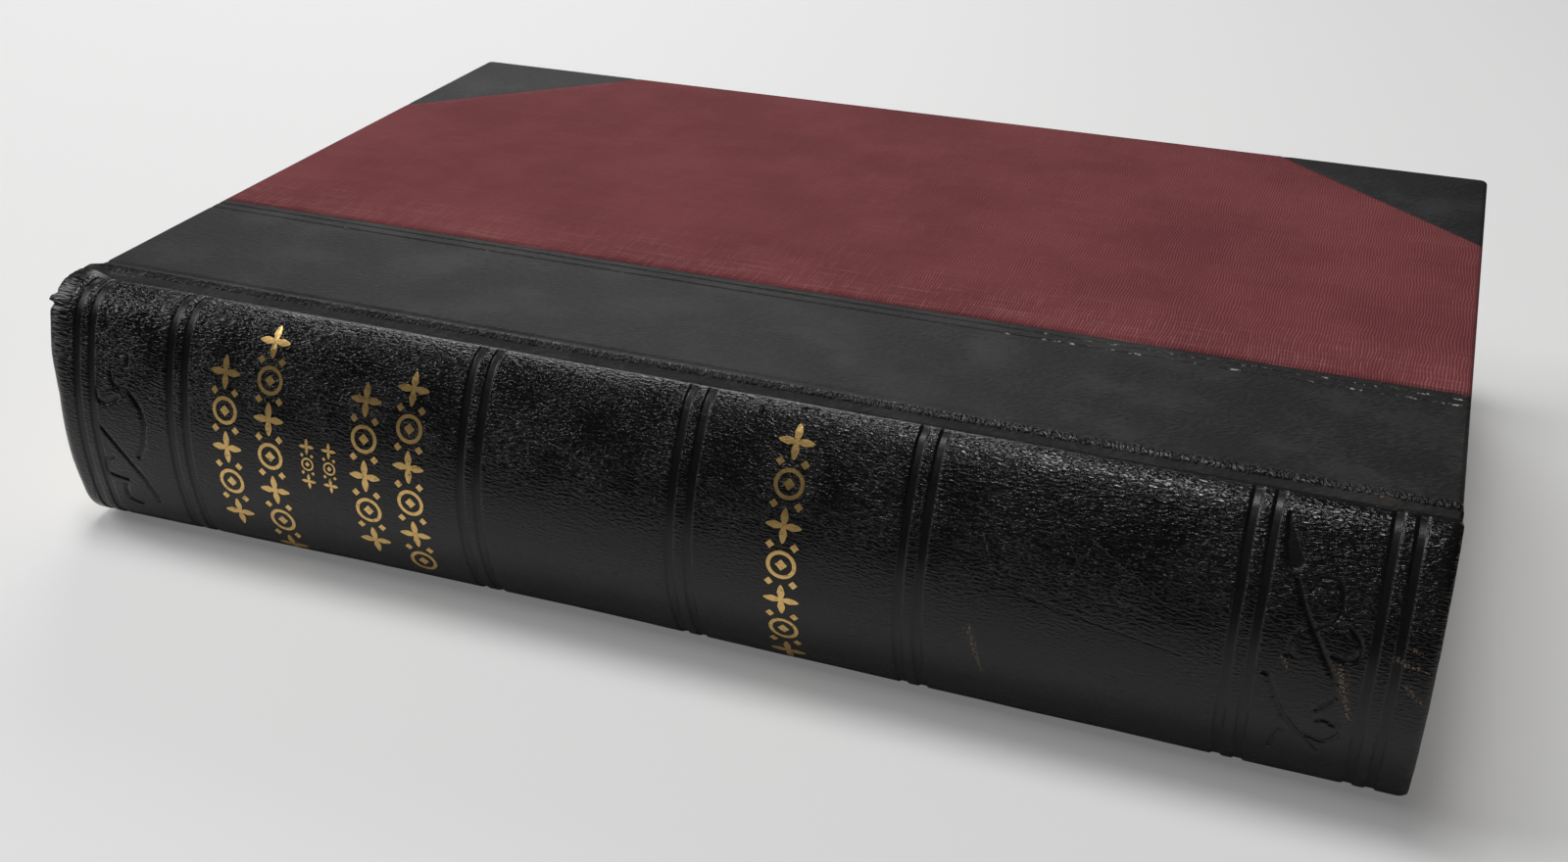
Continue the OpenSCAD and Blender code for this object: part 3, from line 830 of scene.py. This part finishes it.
def spinePressed(x, s):
    seam = 1 - smoothStep(4.2 * mm, 5.6 * mm, min(s, spineRun - s))
    return min(1.0, max(stripeShare(x, s), 0.9 * scrollShare(x, s), 0.75 * seam))


# Head and tail of the spine leather: turned over as a cap, and torn at the head beside the front joint
spineEnds = {
    # outline of the head end: across the spine, and along it towards the head, in millimetres
    "head": [(0, 127.4), (9, 127.5), (10.6, 127.3), (11.4, 128.3), (12.1, 128.7), (12.6, 127.2), (14, 127.9),
             (22, 127.5), (26, 126.8), (30, 126.2), (44, 126), (53, 125.3), (67, 125.4)],
    "tornTo": 12.3,  # millimetres from the front joint
    "ragged": 0.3,
    "lift": 0.9,  # share of the valley that the torn head is pushed up by
    "flat": book["endX"] - 1.2 * mm,  # the turn begins here
    "capRadius": 0.75 * mm,
    "capRun": 3.4 * mm,  # sheet taken up by the cap's turn
    "turnedRun": 13 * mm,  # sheet turned in behind it
    "shortTurn": 1.6 * mm,  # as far as it reaches where the leather is torn or pasted
    "capHeight": (1.3 * mm, 0.7 * mm),  # beside the joints, and what the middle adds
    "tornHeight": 0.7 * mm,
    "tornLeather": 0.24 * mm,
}


def alongOutline(outline, at):
    for (x0, y0), (x1, y1) in zip(outline, outline[1:]):
        if at <= x1:
            return y0 + (y1 - y0) * max(0.0, (at - x0) / (x1 - x0))
    return outline[-1][1]


def spineEnd(side, s):
    if side > 0:
        return book["tailX"] - (0.05 + 0.05 * noise.noise(Vector((0, s / mm * 0.3, 7)))) * mm
    raggedness = spineEnds["ragged"] * (1 if s / mm < spineEnds["tornTo"] else 0.15)
    end = alongOutline(spineEnds["head"], s / mm) + raggedness * noise.noise(Vector((5, s / mm * 1.3, 1)))
    return min(end, book["tornX"] / mm - 0.02) * mm


# The torn head is pushed up beside the joint, level with the cover
def headLift(x, s):
    return spineEnds["lift"] * smoothStep(120, 124.5, -x / mm) * (1 - smoothStep(4, 10, s / mm))


# How far out the cap's turn has come, as a share of the way to its end
def capOut(share, out):
    if share < 0.4:
        return share / 0.4 * 0.5 + 0.5 * out
    return 1.0 if share < 0.6 else 0.5 + 0.5 * out


# The spine leather at a place along and across it, depth below its grain side
def spinePlace(x, s, depth=0.0):
    point, normal = onSpine(x, s)
    side = 1 if x > 0 else -1
    beyond = abs(x) - spineEnds["flat"]
    inward = spineSink(x, s)
    if beyond <= 0:
        inward += depth
    else:
        turned = beyond / spineEnds["capRun"]
        end = spineEnd(side, s)
        torn = side < 0 and s / mm < spineEnds["tornTo"]
        middle = smoothStep(14 * mm, 20 * mm, min(s, spineRun - s))
        low, more = spineEnds["capHeight"]
        height = spineEnds["tornHeight"] if torn else low + more * middle
        radius = min(spineEnds["capRadius"], height / 2 - 0.02 * mm)
        if turned < 1:
            out, down, tilt = overEdge(turned, height, radius)
            out = spineEnds["flat"] + (end - spineEnds["flat"]) * capOut(turned, out / radius)
        else:
            reach = spineEnds["shortTurn"]
            reach += (spineEnds["turnedRun"] - reach) * (0 if torn else middle)
            out = end - radius - (beyond - spineEnds["capRun"]) / spineEnds["turnedRun"] * reach
            down, tilt = height, math.pi
        depth = min(depth, spineEnds["tornLeather"]) if torn else depth * (1 - 0.45 * min(1, turned))
        inward = inward * (1 if tilt < math.pi / 2 else 0) + down + depth * math.cos(tilt)
        x = side * (out - depth * math.sin(tilt))
    lift = headLift(x, s) * max(0.0, midZ - 0.12 * mm - point.y)
    place = point - normal * inward
    return x, jointY + place.x, midZ + place.y + lift


# Every eighth station, with the last one: the flesh side needs no more
def thinned(places, every=8):
    return places[::every] + ([] if (len(places) - 1) % every == 0 else [places[-1]])


def spineLeather():
    flat, capRun = spineEnds["flat"], spineEnds["capRun"]
    runs = []
    for place in tooling["bands"]:
        low, high = (place - tooling["bandHalf"]) * mm, (place + tooling["bandHalf"]) * mm
        runs += [(max(low, -flat + 0.3 * mm), 1.4 * mm), (min(high, flat - 0.3 * mm), 0.2 * mm)]
    cap = [capRun * i / 12 for i in range(1, 13)]
    cap += [capRun + spineEnds["turnedRun"] * i / 4 for i in range(1, 5)]
    columns = stations(-flat, *runs, (flat, 1.0 * mm))
    columns = [-flat - c for c in reversed(cap)] + columns + [flat + c for c in cap]
    rows = stations(spineShape["edge"], (14.5 * mm, 0.34 * mm), (spineRun - 8 * mm, 0.8 * mm),
                    (spineRun - spineShape["edge"], 0.4 * mm))
    bm = flatSheet(columns, rows)
    low, high = tooling["scrollEdges"]
    tooled = [edge for edge in bm.edges if low < abs(edge.verts[0].co.x / mm) < high and
              min(scrollGap(v.co.x, v.co.y) for v in edge.verts) < tooling["scrollNear"]]
    bmesh.ops.subdivide_edges(bm, edges=tooled, cuts=4, use_grid_fill=True)
    layOut(bm, spinePlace, spinePressed)
    inner = flatSheet(thinned(columns), thinned(rows))
    layOut(inner, lambda x, s: spinePlace(x, s, spineShape["leather"]), lambda x, s: 0.0)
    bmesh.ops.reverse_faces(inner, faces=inner.faces[:])
    fleshSide = bpy.data.meshes.new("fleshSide")
    inner.to_mesh(fleshSide)
    inner.free()
    bm.from_mesh(fleshSide)
    bmesh.ops.bridge_loops(bm, edges=[edge for edge in bm.edges if edge.is_boundary])
    bmesh.ops.recalc_face_normals(bm, faces=bm.faces[:])
    return finishPiece("spineLeather", bm, "spineLeather", "block", ["spine_leather"])


spineLeather()


# Leather strip: from the valley over the joint onto the cover, folded in at head and tail
strip = {
    "jointLine": 2.1,  # blind line beside the joint, millimetres from it
    "lineDepth": 0.30,
    "lineHalf": 0.45,
    "fillets": (2.4, 5.1),  # two blind lines, millimetres before the cloth
    "filletDepth": 0.24,
    "filletHalf": 0.26,
    "ridge": 0.03,
    "dip": 0.12,  # the cloth's edge stands over the leather's
    "swell": 0.07,  # slow unevenness of the whole strip
    "pucker": 0.13,  # ... and of the ridge at the joint
    "jointFold": 1.6 * mm,  # doubled leather where there is no board
    "jointTurn": 2.2 * mm,
    "leather": 0.7 * mm,
}


def groove(at, place, half):
    return math.exp(-((at - place) / half) ** 2)


# How far the strip lies below the cover's face: along the valley, and in the blind lines
def valleyFall(u, x, torn):
    depth = spineShape["valleyDepth"] / mm
    fall = depth - (depth - strip["ridge"]) * smoothStep(valleyU / mm, 0.75, u / mm)
    return fall * (1 - (headLift(x, 0) if torn else 0)) * mm


def stripLines(u, x, seed):
    along, at, edge = x / mm, u / mm, book["clothU"] / mm
    fade = 0.35 + 0.65 * smoothStep(60, -40, along) if seed == 0 else 0.7
    wave = 0.10 * noise.noise(Vector((along * 0.03, 2, seed)))
    sink = strip["lineDepth"] * fade * groove(at, strip["jointLine"] + wave, strip["lineHalf"])
    sink += sum(strip["filletDepth"] * groove(at, edge - line + wave * 0.5, strip["filletHalf"])
                for line in strip["fillets"])
    sink += strip["dip"] * smoothStep(edge - 0.6, edge, at)
    sink += strip["swell"] * uneven((along * 0.05, at * 0.05, seed * 0.5))
    sink += strip["pucker"] * groove(at, 0.2, 1.3) * uneven((along * 0.55, at * 0.3, seed + 4))
    return sink * mm


def leatherStrip(name, node, front):
    seed = 0 if front else 3
    headX = spineEnds["head"][0][1] * mm if front else book["tailX"]
    jointShare = (strip["jointTurn"] - book["foldRadius"]) / turnRun
    rows = stations(valleyU - 0.1 * mm, (3.6 * mm, 0.15 * mm), (book["clothU"] - 6 * mm, 1.5 * mm),
                    (book["clothU"], 0.15 * mm))

    def place(x, u):
        at = u / mm
        height = strip["jointFold"] + (book["coverH"] - strip["jointFold"]) * smoothStep(0.2, 1.2, at)
        spineX = headX if x < 0 else book["tailX"] - 0.08 * mm
        longer = (spineX - book["endX"]) * (1 - smoothStep(-0.6, 1.0, at))
        grown = x * (1 + longer / faceEnd) if abs(x) <= faceEnd else x + math.copysign(longer, x)
        turnShare = jointShare + (1 - jointShare) * smoothStep(0.5, 1.5, at)
        out, down, tilt = foldedPlace(grown, book["endX"] + longer, height, turnShare)
        onTop = max(0.0, math.cos(min(tilt, math.pi / 2)))
        return out, jointY + u, faceZ - down - valleyFall(u, x, front) - stripLines(u, x, seed) * onTop

    bm = coverSheet(coverColumns(1.0 * mm), rows, place, front)
    made = finishPiece(name, bm, "stripLeather", None, [node], strip["leather"])
    if front:
        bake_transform(made)
    else:
        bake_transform(made)
    return made


leatherStrip("frontStrip", "front_leather_strip", True)
leatherStrip("backStrip", "back_leather_strip", False)


# Cloth over the rest of a board, cut away under the leather corners
cloth = {
    "thickness": 0.7 * mm,
    "step": 3 * mm,
    "cornerX": 45 * mm,
    "cornerU": 46 * mm,
    "roll": 0.05 * mm,
    "below": 0.02 * mm,  # under the level of the CAD box
}


# The slanted edge of a leather corner: a point on it and its direction away from the cloth
def cornerPlane(side):
    first = Vector((side * book["endX"], jointY + book["foreU"] - cloth["cornerU"], 0))
    second = Vector((side * (book["endX"] - cloth["cornerX"]), jointY + book["foreU"], 0))
    along = second - first
    out = Vector((along.y, -along.x, 0)).normalized()
    return first, out if out.x * side > 0 else -out


# Cuts a mesh at a plane, and clears what lies on the side that is asked for
def cut(bm, at, out, **cleared):
    geometry = bm.verts[:] + bm.edges[:] + bm.faces[:]
    bmesh.ops.bisect_plane(bm, geom=geometry, dist=1e-6, plane_co=at, plane_no=out, **cleared)


def boardCloth(name, node, front):
    seed = 1 if front else 6
    rows = stations(book["clothU"], (book["foreU"] - book["foldRadius"], cloth["step"]))[:-1]
    rows += foldStations(book["foreU"])

    def place(x, u):
        outX, downX, tiltX = foldedPlace(x, book["endX"], book["coverH"])
        outU, downU, tiltU = foldedPlace(u, book["foreU"], book["coverH"])
        onTop = max(0.0, math.cos(min(tiltX + tiltU, math.pi / 2)))
        below = cloth["below"] + cloth["roll"] * uneven((x / mm * 0.06, u / mm * 0.06, seed))
        return outX, jointY + outU, faceZ - max(downX, downU) - below * onTop

    bm = coverSheet(coverColumns(cloth["step"]), rows, place, front)
    for side in (-1, 1):
        cut(bm, *cornerPlane(side), clear_outer=True)
    body = "front_cover" if front else "back_cover"
    return finishPiece(name, bm, "cloth", body, [node], cloth["thickness"])


boardCloth("frontCloth", "front_cloth", True)
boardCloth("backCloth", "back_cloth", False)


# Leather corner: a shell over the board's corner, rounded at its tip and edges
corner = {
    "tip": 1.6 * mm,
    "edge": 0.9 * mm,
    "dip": 0.12 * mm,  # the leather is lowest beside the cloth
    "below": 0.03 * mm,
    "leather": 0.7 * mm,
    "rings": (0.0, 0.35, 0.8, 1.6),  # cuts beside the slanted edge, millimetres from it
}


def rounded(bm, edges, offset, segments):
    bmesh.ops.bevel(bm, geom=edges, offset=offset, segments=segments, profile=0.5, affect="EDGES",
                    material=-1)


def leatherCorner(name, node, side, front):
    bm = bmesh.new()
    bmesh.ops.create_cube(bm, size=1)
    high = Vector((book["endX"], jointY + book["foreU"], faceZ))
    size = Vector((cloth["cornerX"] + 4 * mm, cloth["cornerU"] + 4 * mm, book["coverH"]))
    for vert in bm.verts:
        vert.co = [b - d * (0.5 - c) for b, d, c in zip(high, size, vert.co)]
    tip = [edge for edge in bm.edges
           if all(abs(v.co.x - high.x) + abs(v.co.y - high.y) < 1e-6 for v in edge.verts)]
    rounded(bm, tip, corner["tip"], 7)
    inner = [face for face in bm.faces if face.normal.x < -0.9 or face.normal.y < -0.9]
    bmesh.ops.delete(bm, geom=inner, context="FACES_ONLY")
    rims = []
    for edge in bm.edges:
        if len(edge.link_faces) == 2:
            first, second = (face.normal.z for face in edge.link_faces)
            if abs(first) + abs(second) > 0.9 and abs(first * second) < 0.1:
                rims.append(edge)
    rounded(bm, rims, corner["edge"], 6)
    turnX, turnY = high.x - book["turnIn"], high.y - book["turnIn"]
    cut(bm, (turnX, 0, 0), (1, 0, 0))
    cut(bm, (0, turnY, 0), (0, 1, 0))
    middles = [(face, face.calc_center_median()) for face in bm.faces if face.normal.z < -0.9]
    under = [face for face, middle in middles if middle.x < turnX and middle.y < turnY]
    bmesh.ops.delete(bm, geom=under, context="FACES")
    at, out = cornerPlane(1)
    for gap in corner["rings"]:
        cut(bm, at + out * gap * mm, out, clear_inner=gap == 0.0)
    for vert in bm.verts:
        if vert.co.z > faceZ - 0.5 * mm:
            gap = (vert.co - at).dot(out)
            vert.co.z -= corner["dip"] * (1 - smoothStep(0, corner["rings"][-1] * mm, gap)) + corner["below"]
    uv = bm.loops.layers.uv.new("sheet")
    for face in bm.faces:
        for loop in face.loops:
            spot, down = loop.vert.co, faceZ - loop.vert.co.z
            loop[uv].uv = ((spot.x + down) / mm, (spot.y - jointY + down) / mm)
    for vert in bm.verts:
        vert.co.x *= side
        vert.co.z = vert.co.z if front else faceZ - vert.co.z
    bm.normal_update()
    bmesh.ops.triangulate(bm, faces=bm.faces[:])
    # outward normals: the top of a front corner faces up
    top = max(bm.faces, key=lambda face: face.calc_area())
    bmesh.ops.recalc_face_normals(bm, faces=bm.faces[:])
    if (top.normal.z > 0) != front:
        bmesh.ops.reverse_faces(bm, faces=bm.faces[:])
    body = "front_cover" if front else "back_cover"
    return finishPiece(name, bm, "cornerLeather", body, [node], corner["leather"])


for front, cover in ((True, "front"), (False, "back")):
    for side, end in ((-1, "head"), (1, "tail")):
        leatherCorner(cover + "Corner" + end.capitalize(), cover + "_corner_leather_" + end, side, front)


# The pages: one ring of the block's outline, raised leaf by leaf
pages = {
    "hollow": 4.5 * mm,  # fore-edge, hollow like the back is round
    "flareRadius": 2.7 * mm,  # backing, where the outer leaves turn over the joint
    "flareGap": 0.3 * mm,
    "behindSpine": 4.0 * mm,  # back of the pages below the spine's face
    "levels": 210,
    "flareLevels": 8,
    "ringSteps": (70, 60, 70, 16),  # head, fore-edge, tail and back
    "section": 2.3 * mm,
    "slip": (0.06, 0.05),  # of single leaves, at the fore-edge and at head and tail
    "short": 0.10,  # a leaf that is cut shorter, and how many there are
    "shortShare": 0.12,
    "seed": 11,
}


def pagesBlock():
    half = (pagesHigh.x - pagesLow.x) / 2
    front = pagesHigh.y - jointY
    leafHalf = midZ - (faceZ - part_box("front_flyleaf")[0].z)
    hollowR = (leafHalf ** 2 + pages["hollow"] ** 2) / (2 * pages["hollow"])
    shoulderR, shoulderIn = spineShape["shoulderRadius"], spineShape["shoulderIn"][0]
    shoulderZ, backR = backArc(shoulderIn)
    innerR = backR - pages["behindSpine"]
    tangent = innerR * shoulderZ / (backR - shoulderR)

    # back and fore-edge of the leaf at a height over the middle
    def leafEnds(z):
        up = abs(z)
        if up > leafHalf:
            reach = math.sqrt(max(0.0, pages["flareRadius"] ** 2 - (up - leafHalf) ** 2))
            centre = -pages["flareRadius"] - pages["flareGap"]
            return centre - reach, centre + reach
        fore = front - pages["hollow"] + hollowR - math.sqrt(hollowR ** 2 - z ** 2)
        if up < tangent:
            return backR + book["spineU"] - math.sqrt(innerR ** 2 - z ** 2), fore
        inner = shoulderR - pages["behindSpine"]
        return -shoulderIn - math.sqrt(max(0.0, inner ** 2 - (up - shoulderZ) ** 2)), fore

    turns = [i / pages["flareLevels"] * math.pi / 2 for i in range(1, pages["flareLevels"] + 1)]
    flare = [leafHalf + 0.001 * mm] + [leafHalf + pages["flareRadius"] * 0.96 * math.sin(t) for t in turns]
    levels = stations(-leafHalf, (leafHalf, 2 * leafHalf / pages["levels"]))
    levels = [-z for z in reversed(flare)] + levels + flare
    corners = [(-1, 0), (-1, 1), (1, 1), (1, 0), (-1, 0)]
    ring = []
    for (x0, v0), (x1, v1), count in zip(corners, corners[1:], pages["ringSteps"]):
        ring += [(x0 + (x1 - x0) * (i / count), v0 + (v1 - v0) * (i / count)) for i in range(count)]
    bm = bmesh.new()
    bmesh.ops.create_circle(bm, segments=len(ring), radius=1)
    level, rim = bm.verts[:], bm.edges[:]
    chance = random.Random(pages["seed"])
    foreSlip, endSlip = pages["slip"]
    for n, z in enumerate(levels):
        back, fore = leafEnds(z)
        slip, slipX = chance.uniform(-foreSlip, foreSlip), chance.uniform(-endSlip, endSlip)
        short = pages["short"] if chance.random() < pages["shortShare"] else 0.0
        inSection = abs(((z / pages["section"]) % 1) - 0.5) * 2
        for (x, v), vert in zip(ring, level):
            wave = noise.noise(Vector((x * 9, v * 6, z / mm * 0.9)))
            headIn = (0.12 + slipX + 0.10 * wave + short * (1 if abs(x) == 1 else 0)) * mm
            foreIn = (0.10 + slip + 0.12 * wave + short + 0.10 * inSection) * mm * smoothStep(0.8, 1.0, v)
            at = back + (fore - foreIn - back) * v
            vert.co = (x * (half - headIn), jointY + at, midZ + z)
        if n < len(levels) - 1:
            raised = bmesh.ops.extrude_edge_only(bm, edges=rim)["geom"]
            level = [item for item in raised if isinstance(item, bmesh.types.BMVert)]
            rim = [item for item in raised if isinstance(item, bmesh.types.BMEdge)
                   and all(v in level for v in item.verts)]
    bmesh.ops.holes_fill(bm, edges=[edge for edge in bm.edges if edge.is_boundary], sides=0)
    bmesh.ops.recalc_face_normals(bm, faces=bm.faces[:])
    return finishPiece("pages", bm, "pages", "block", ["text_block"])


pagesBlock()


# Loose leaves of the endpapers, lying on the pages
flyleaf = {
    "paper": 0.14 * mm,
    "wave": 0.07 * mm,
    "above": 0.02 * mm,
    "inset": 0.3 * mm,
    "worn": 0.25 * mm,  # off the fore-edge at most
    "backU": -0.25 * mm,
}


def looseLeaf(name, node, front):
    low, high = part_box(node)
    seed = 2 if front else 9
    columns = stations(low.x + flyleaf["inset"], (high.x - flyleaf["inset"], 3 * mm))
    rows = stations(flyleaf["backU"], (high.y - jointY - flyleaf["inset"], 3 * mm))
    lift = low.z if front else faceZ - high.z

    def place(x, u):
        wave = noise.noise(Vector((x / mm * 0.02, u / mm * 0.03, seed)))
        worn = abs(flyleaf["worn"] * noise.noise(Vector((x / mm * 0.08, u / mm * 0.08, seed + 1))))
        far = smoothStep(0.97, 1.0, u / rows[-1])
        z = lift + flyleaf["paper"] + flyleaf["above"] + flyleaf["wave"] * (1 + wave)
        return x, jointY + u - worn * far, z

    bm = coverSheet(columns, rows, place, front)
    return finishPiece(name, bm, "endpaper", "block", [node], flyleaf["paper"])


looseLeaf("frontFlyleaf", "front_flyleaf", True)
looseLeaf("backFlyleaf", "back_flyleaf", False)


# Gilt ornaments: rows of four-petalled flowers and ringed lozenges across the spine
gilding = {
    "titleRows": [(-87.2, 5, 6.4), (-77.6, 7, 6.4), (-69.5, 3, 3.1), (-64.8, 3, 3.1), (-57.3, 5, 6.4),
                  (-48.1, 6, 6.4)],  # place along the spine, number of ornaments, their size
    "lowerRows": [(23.2, 7, 6.4)],
    "pitch": 1.125,  # of the ornament's size
    "above": 0.05 * mm,
    "thickness": 0.08 * mm,
    "petalLong": 0.52,  # shares of the ornament's size
    "petalWide": 0.22,
    "petalOut": 0.24,
    "eye": 0.16,
    "ring": 0.84,
    "ringLine": 0.11,
    "drop": 0.18,
    "dropOut": 0.34,
}


def addPlate(bm, x, s, long, wide, turn, pointed=True, segments=20):
    made = bmesh.ops.create_circle(bm, cap_ends=True, cap_tris=True, segments=segments, radius=1)["verts"]
    for vert in made:
        a, b = vert.co.x, vert.co.y
        if pointed:
            b *= 1 - 0.35 * abs(a)
        along, across = a * long / 2, b * wide / 2
        vert.co = (x + along * math.cos(turn) - across * math.sin(turn),
                   s + along * math.sin(turn) + across * math.cos(turn), 0)


def addFlower(bm, x, s, size):
    addPlate(bm, x, s, gilding["eye"] * size, gilding["eye"] * size, 0, False)
    out = gilding["petalOut"] * size
    for angle in (0, math.pi / 2, math.pi, math.pi * 1.5):
        addPlate(bm, x + out * math.cos(angle), s + out * math.sin(angle), gilding["petalLong"] * size,
                 gilding["petalWide"] * size, angle)


def addLozenge(bm, x, s, size):
    addPlate(bm, x, s, size * math.sqrt(2), size * math.sqrt(2), 0, False, 4)


def addRing(bm, x, s, size):
    outer = gilding["ring"] * size / 2
    first = bm.verts.new((x + outer, s, 0))
    second = bm.verts.new((x + outer - gilding["ringLine"] * size, s, 0))
    edge = bm.edges.new((first, second))
    bmesh.ops.spin(bm, geom=[first, second, edge], cent=(x, s, 0), axis=(0, 0, 1), angle=2 * math.pi,
                   steps=32, use_merge=True)
    addLozenge(bm, x, s, gilding["petalOut"] * size)


def giltRows(name, node, rows):
    bm = bmesh.new()
    middle = spineRun / mm / 2
    for x, count, size in rows:
        pitch = gilding["pitch"] * size
        for i in range(count):
            s = middle + (i - (count - 1) / 2) * pitch
            if i % 2 == 0:
                addFlower(bm, x, s, size)
            else:
                addRing(bm, x, s, size)
            if i:
                out = gilding["dropOut"] * size
                addLozenge(bm, x - out, s - pitch / 2, gilding["drop"] * size)
                addLozenge(bm, x + out, s - pitch / 2, gilding["drop"] * size)
    for vert in bm.verts:
        vert.co = vert.co * mm
    bmesh.ops.recalc_face_normals(bm, faces=bm.faces[:])
    layOut(bm, lambda x, s: spinePlace(x, s, -gilding["above"]))
    for face in bm.faces:
        face.normal_update()
        if face.normal.y > 0:
            face.normal_flip()
    return finishPiece(name, bm, "gold", "block", [node], gilding["thickness"], smooth=False)


giltRows("giltTitleOrnament", "gilt_title_ornament", gilding["titleRows"])
giltRows("giltLowerOrnament", "gilt_lower_ornament", gilding["lowerRows"])


# Floor, light and surroundings
stage = {
    "floorZ": -0.3 * mm,
    "floorColour": (0.74, 0.74, 0.735, 1),
    "seenColour": (0.60, 0.60, 0.596, 1),  # the floor's picture: less contrast, the same whiteness
    "seenLift": 0.15,
    "far": (0.45, 1.6),  # from here to there the floor fades into what is behind it
    "mirrored": (0.04, 0.04, 0.04, 1),  # what the leather mirrors past the floor's near end
    "nearEnd": (-0.22, -0.14),
    "around": (0.045, 0.045, 0.047, 1),  # what the leather mirrors
    "behind": (0.66, 0.66, 0.656, 1),  # what the camera sees past the floor
    "lamps": [  # place, size, power, seen in glossy leather
        ((-2.0, -0.35, 1.5), (1.4, 1.3), 30, True),
        ((-0.5, 1.0, 0.7), (0.7, 0.45), 4, True),
        ((-0.1, -0.05, 1.5), (0.6, 0.18), 7, True),
        ((-0.2, -1.1, 1.5), (0.3, 0.3), 1.2, True),
        ((-0.5, 0.1, 1.6), (0.5, 0.5), 7, False),
    ],
}


def addLamp(name, place, size, power, glossy):
    lamp = bpy.data.lights.new(name, "AREA")
    lamp.shape = "RECTANGLE"
    lamp.size, lamp.size_y = size
    lamp.energy = power
    lampObject = bpy.data.objects.new(name, lamp)
    lampObject.location = place
    lampObject.visible_glossy = glossy
    lampObject.rotation_euler = (-Vector(place)).to_track_quat("-Z", "Y").to_euler()
    bpy.context.scene.collection.objects.link(lampObject)


def floorMaterial():
    material, tree = startMaterial("floor", Roughness=0.7, Emission_Color=(1, 1, 1, 1))
    rays = addNode(tree, "LightPath").outputs
    place = addNode(tree, "TexCoord").outputs["Object"]
    past = times(rays["Is Glossy Ray"], minus(1.0, remap(part(place, 1), *stage["nearEnd"])))
    base = mixColour(past, stage["floorColour"], stage["mirrored"])
    away = fedNode("VectorMath", {0: place}, operation="LENGTH").outputs["Value"]
    far = remap(away, *stage["far"])
    seen = mixColour(far, stage["seenColour"], (0, 0, 0, 1))
    base = mixColour(rays["Is Camera Ray"], base, seen)
    lift = mixValue(far, stage["seenLift"], stage["behind"][0])
    lift = times(rays["Is Camera Ray"], lift)  # lights nothing
    inputs = tree.nodes["Principled BSDF"].inputs
    tree.links.new(base, inputs["Base Color"])
    tree.links.new(lift, inputs["Emission Strength"])
    return material


def makeStage():
    bm = bmesh.new()
    bmesh.ops.create_grid(bm, x_segments=4, y_segments=4, size=3)
    bmesh.ops.translate(bm, verts=bm.verts[:], vec=(0, 0, stage["floorZ"]))
    mesh = bpy.data.meshes.new("floor")
    bm.to_mesh(mesh)
    bm.free()
    mesh.materials.append(floorMaterial())
    floor = bpy.data.objects.new("floor", mesh)
    bpy.context.scene.collection.objects.link(floor)
    for i, lamp in enumerate(stage["lamps"]):
        addLamp("lamp" + str(i), *lamp)
    world = bpy.data.worlds.new("surroundings")
    world.use_nodes = True
    tree = world.node_tree
    seen = addNode(tree, "LightPath").outputs["Is Camera Ray"]
    around = mixColour(seen, stage["around"], stage["behind"])
    tree.links.new(around, tree.nodes["Background"].inputs["Color"])
    bpy.context.scene.world = world


makeStage()
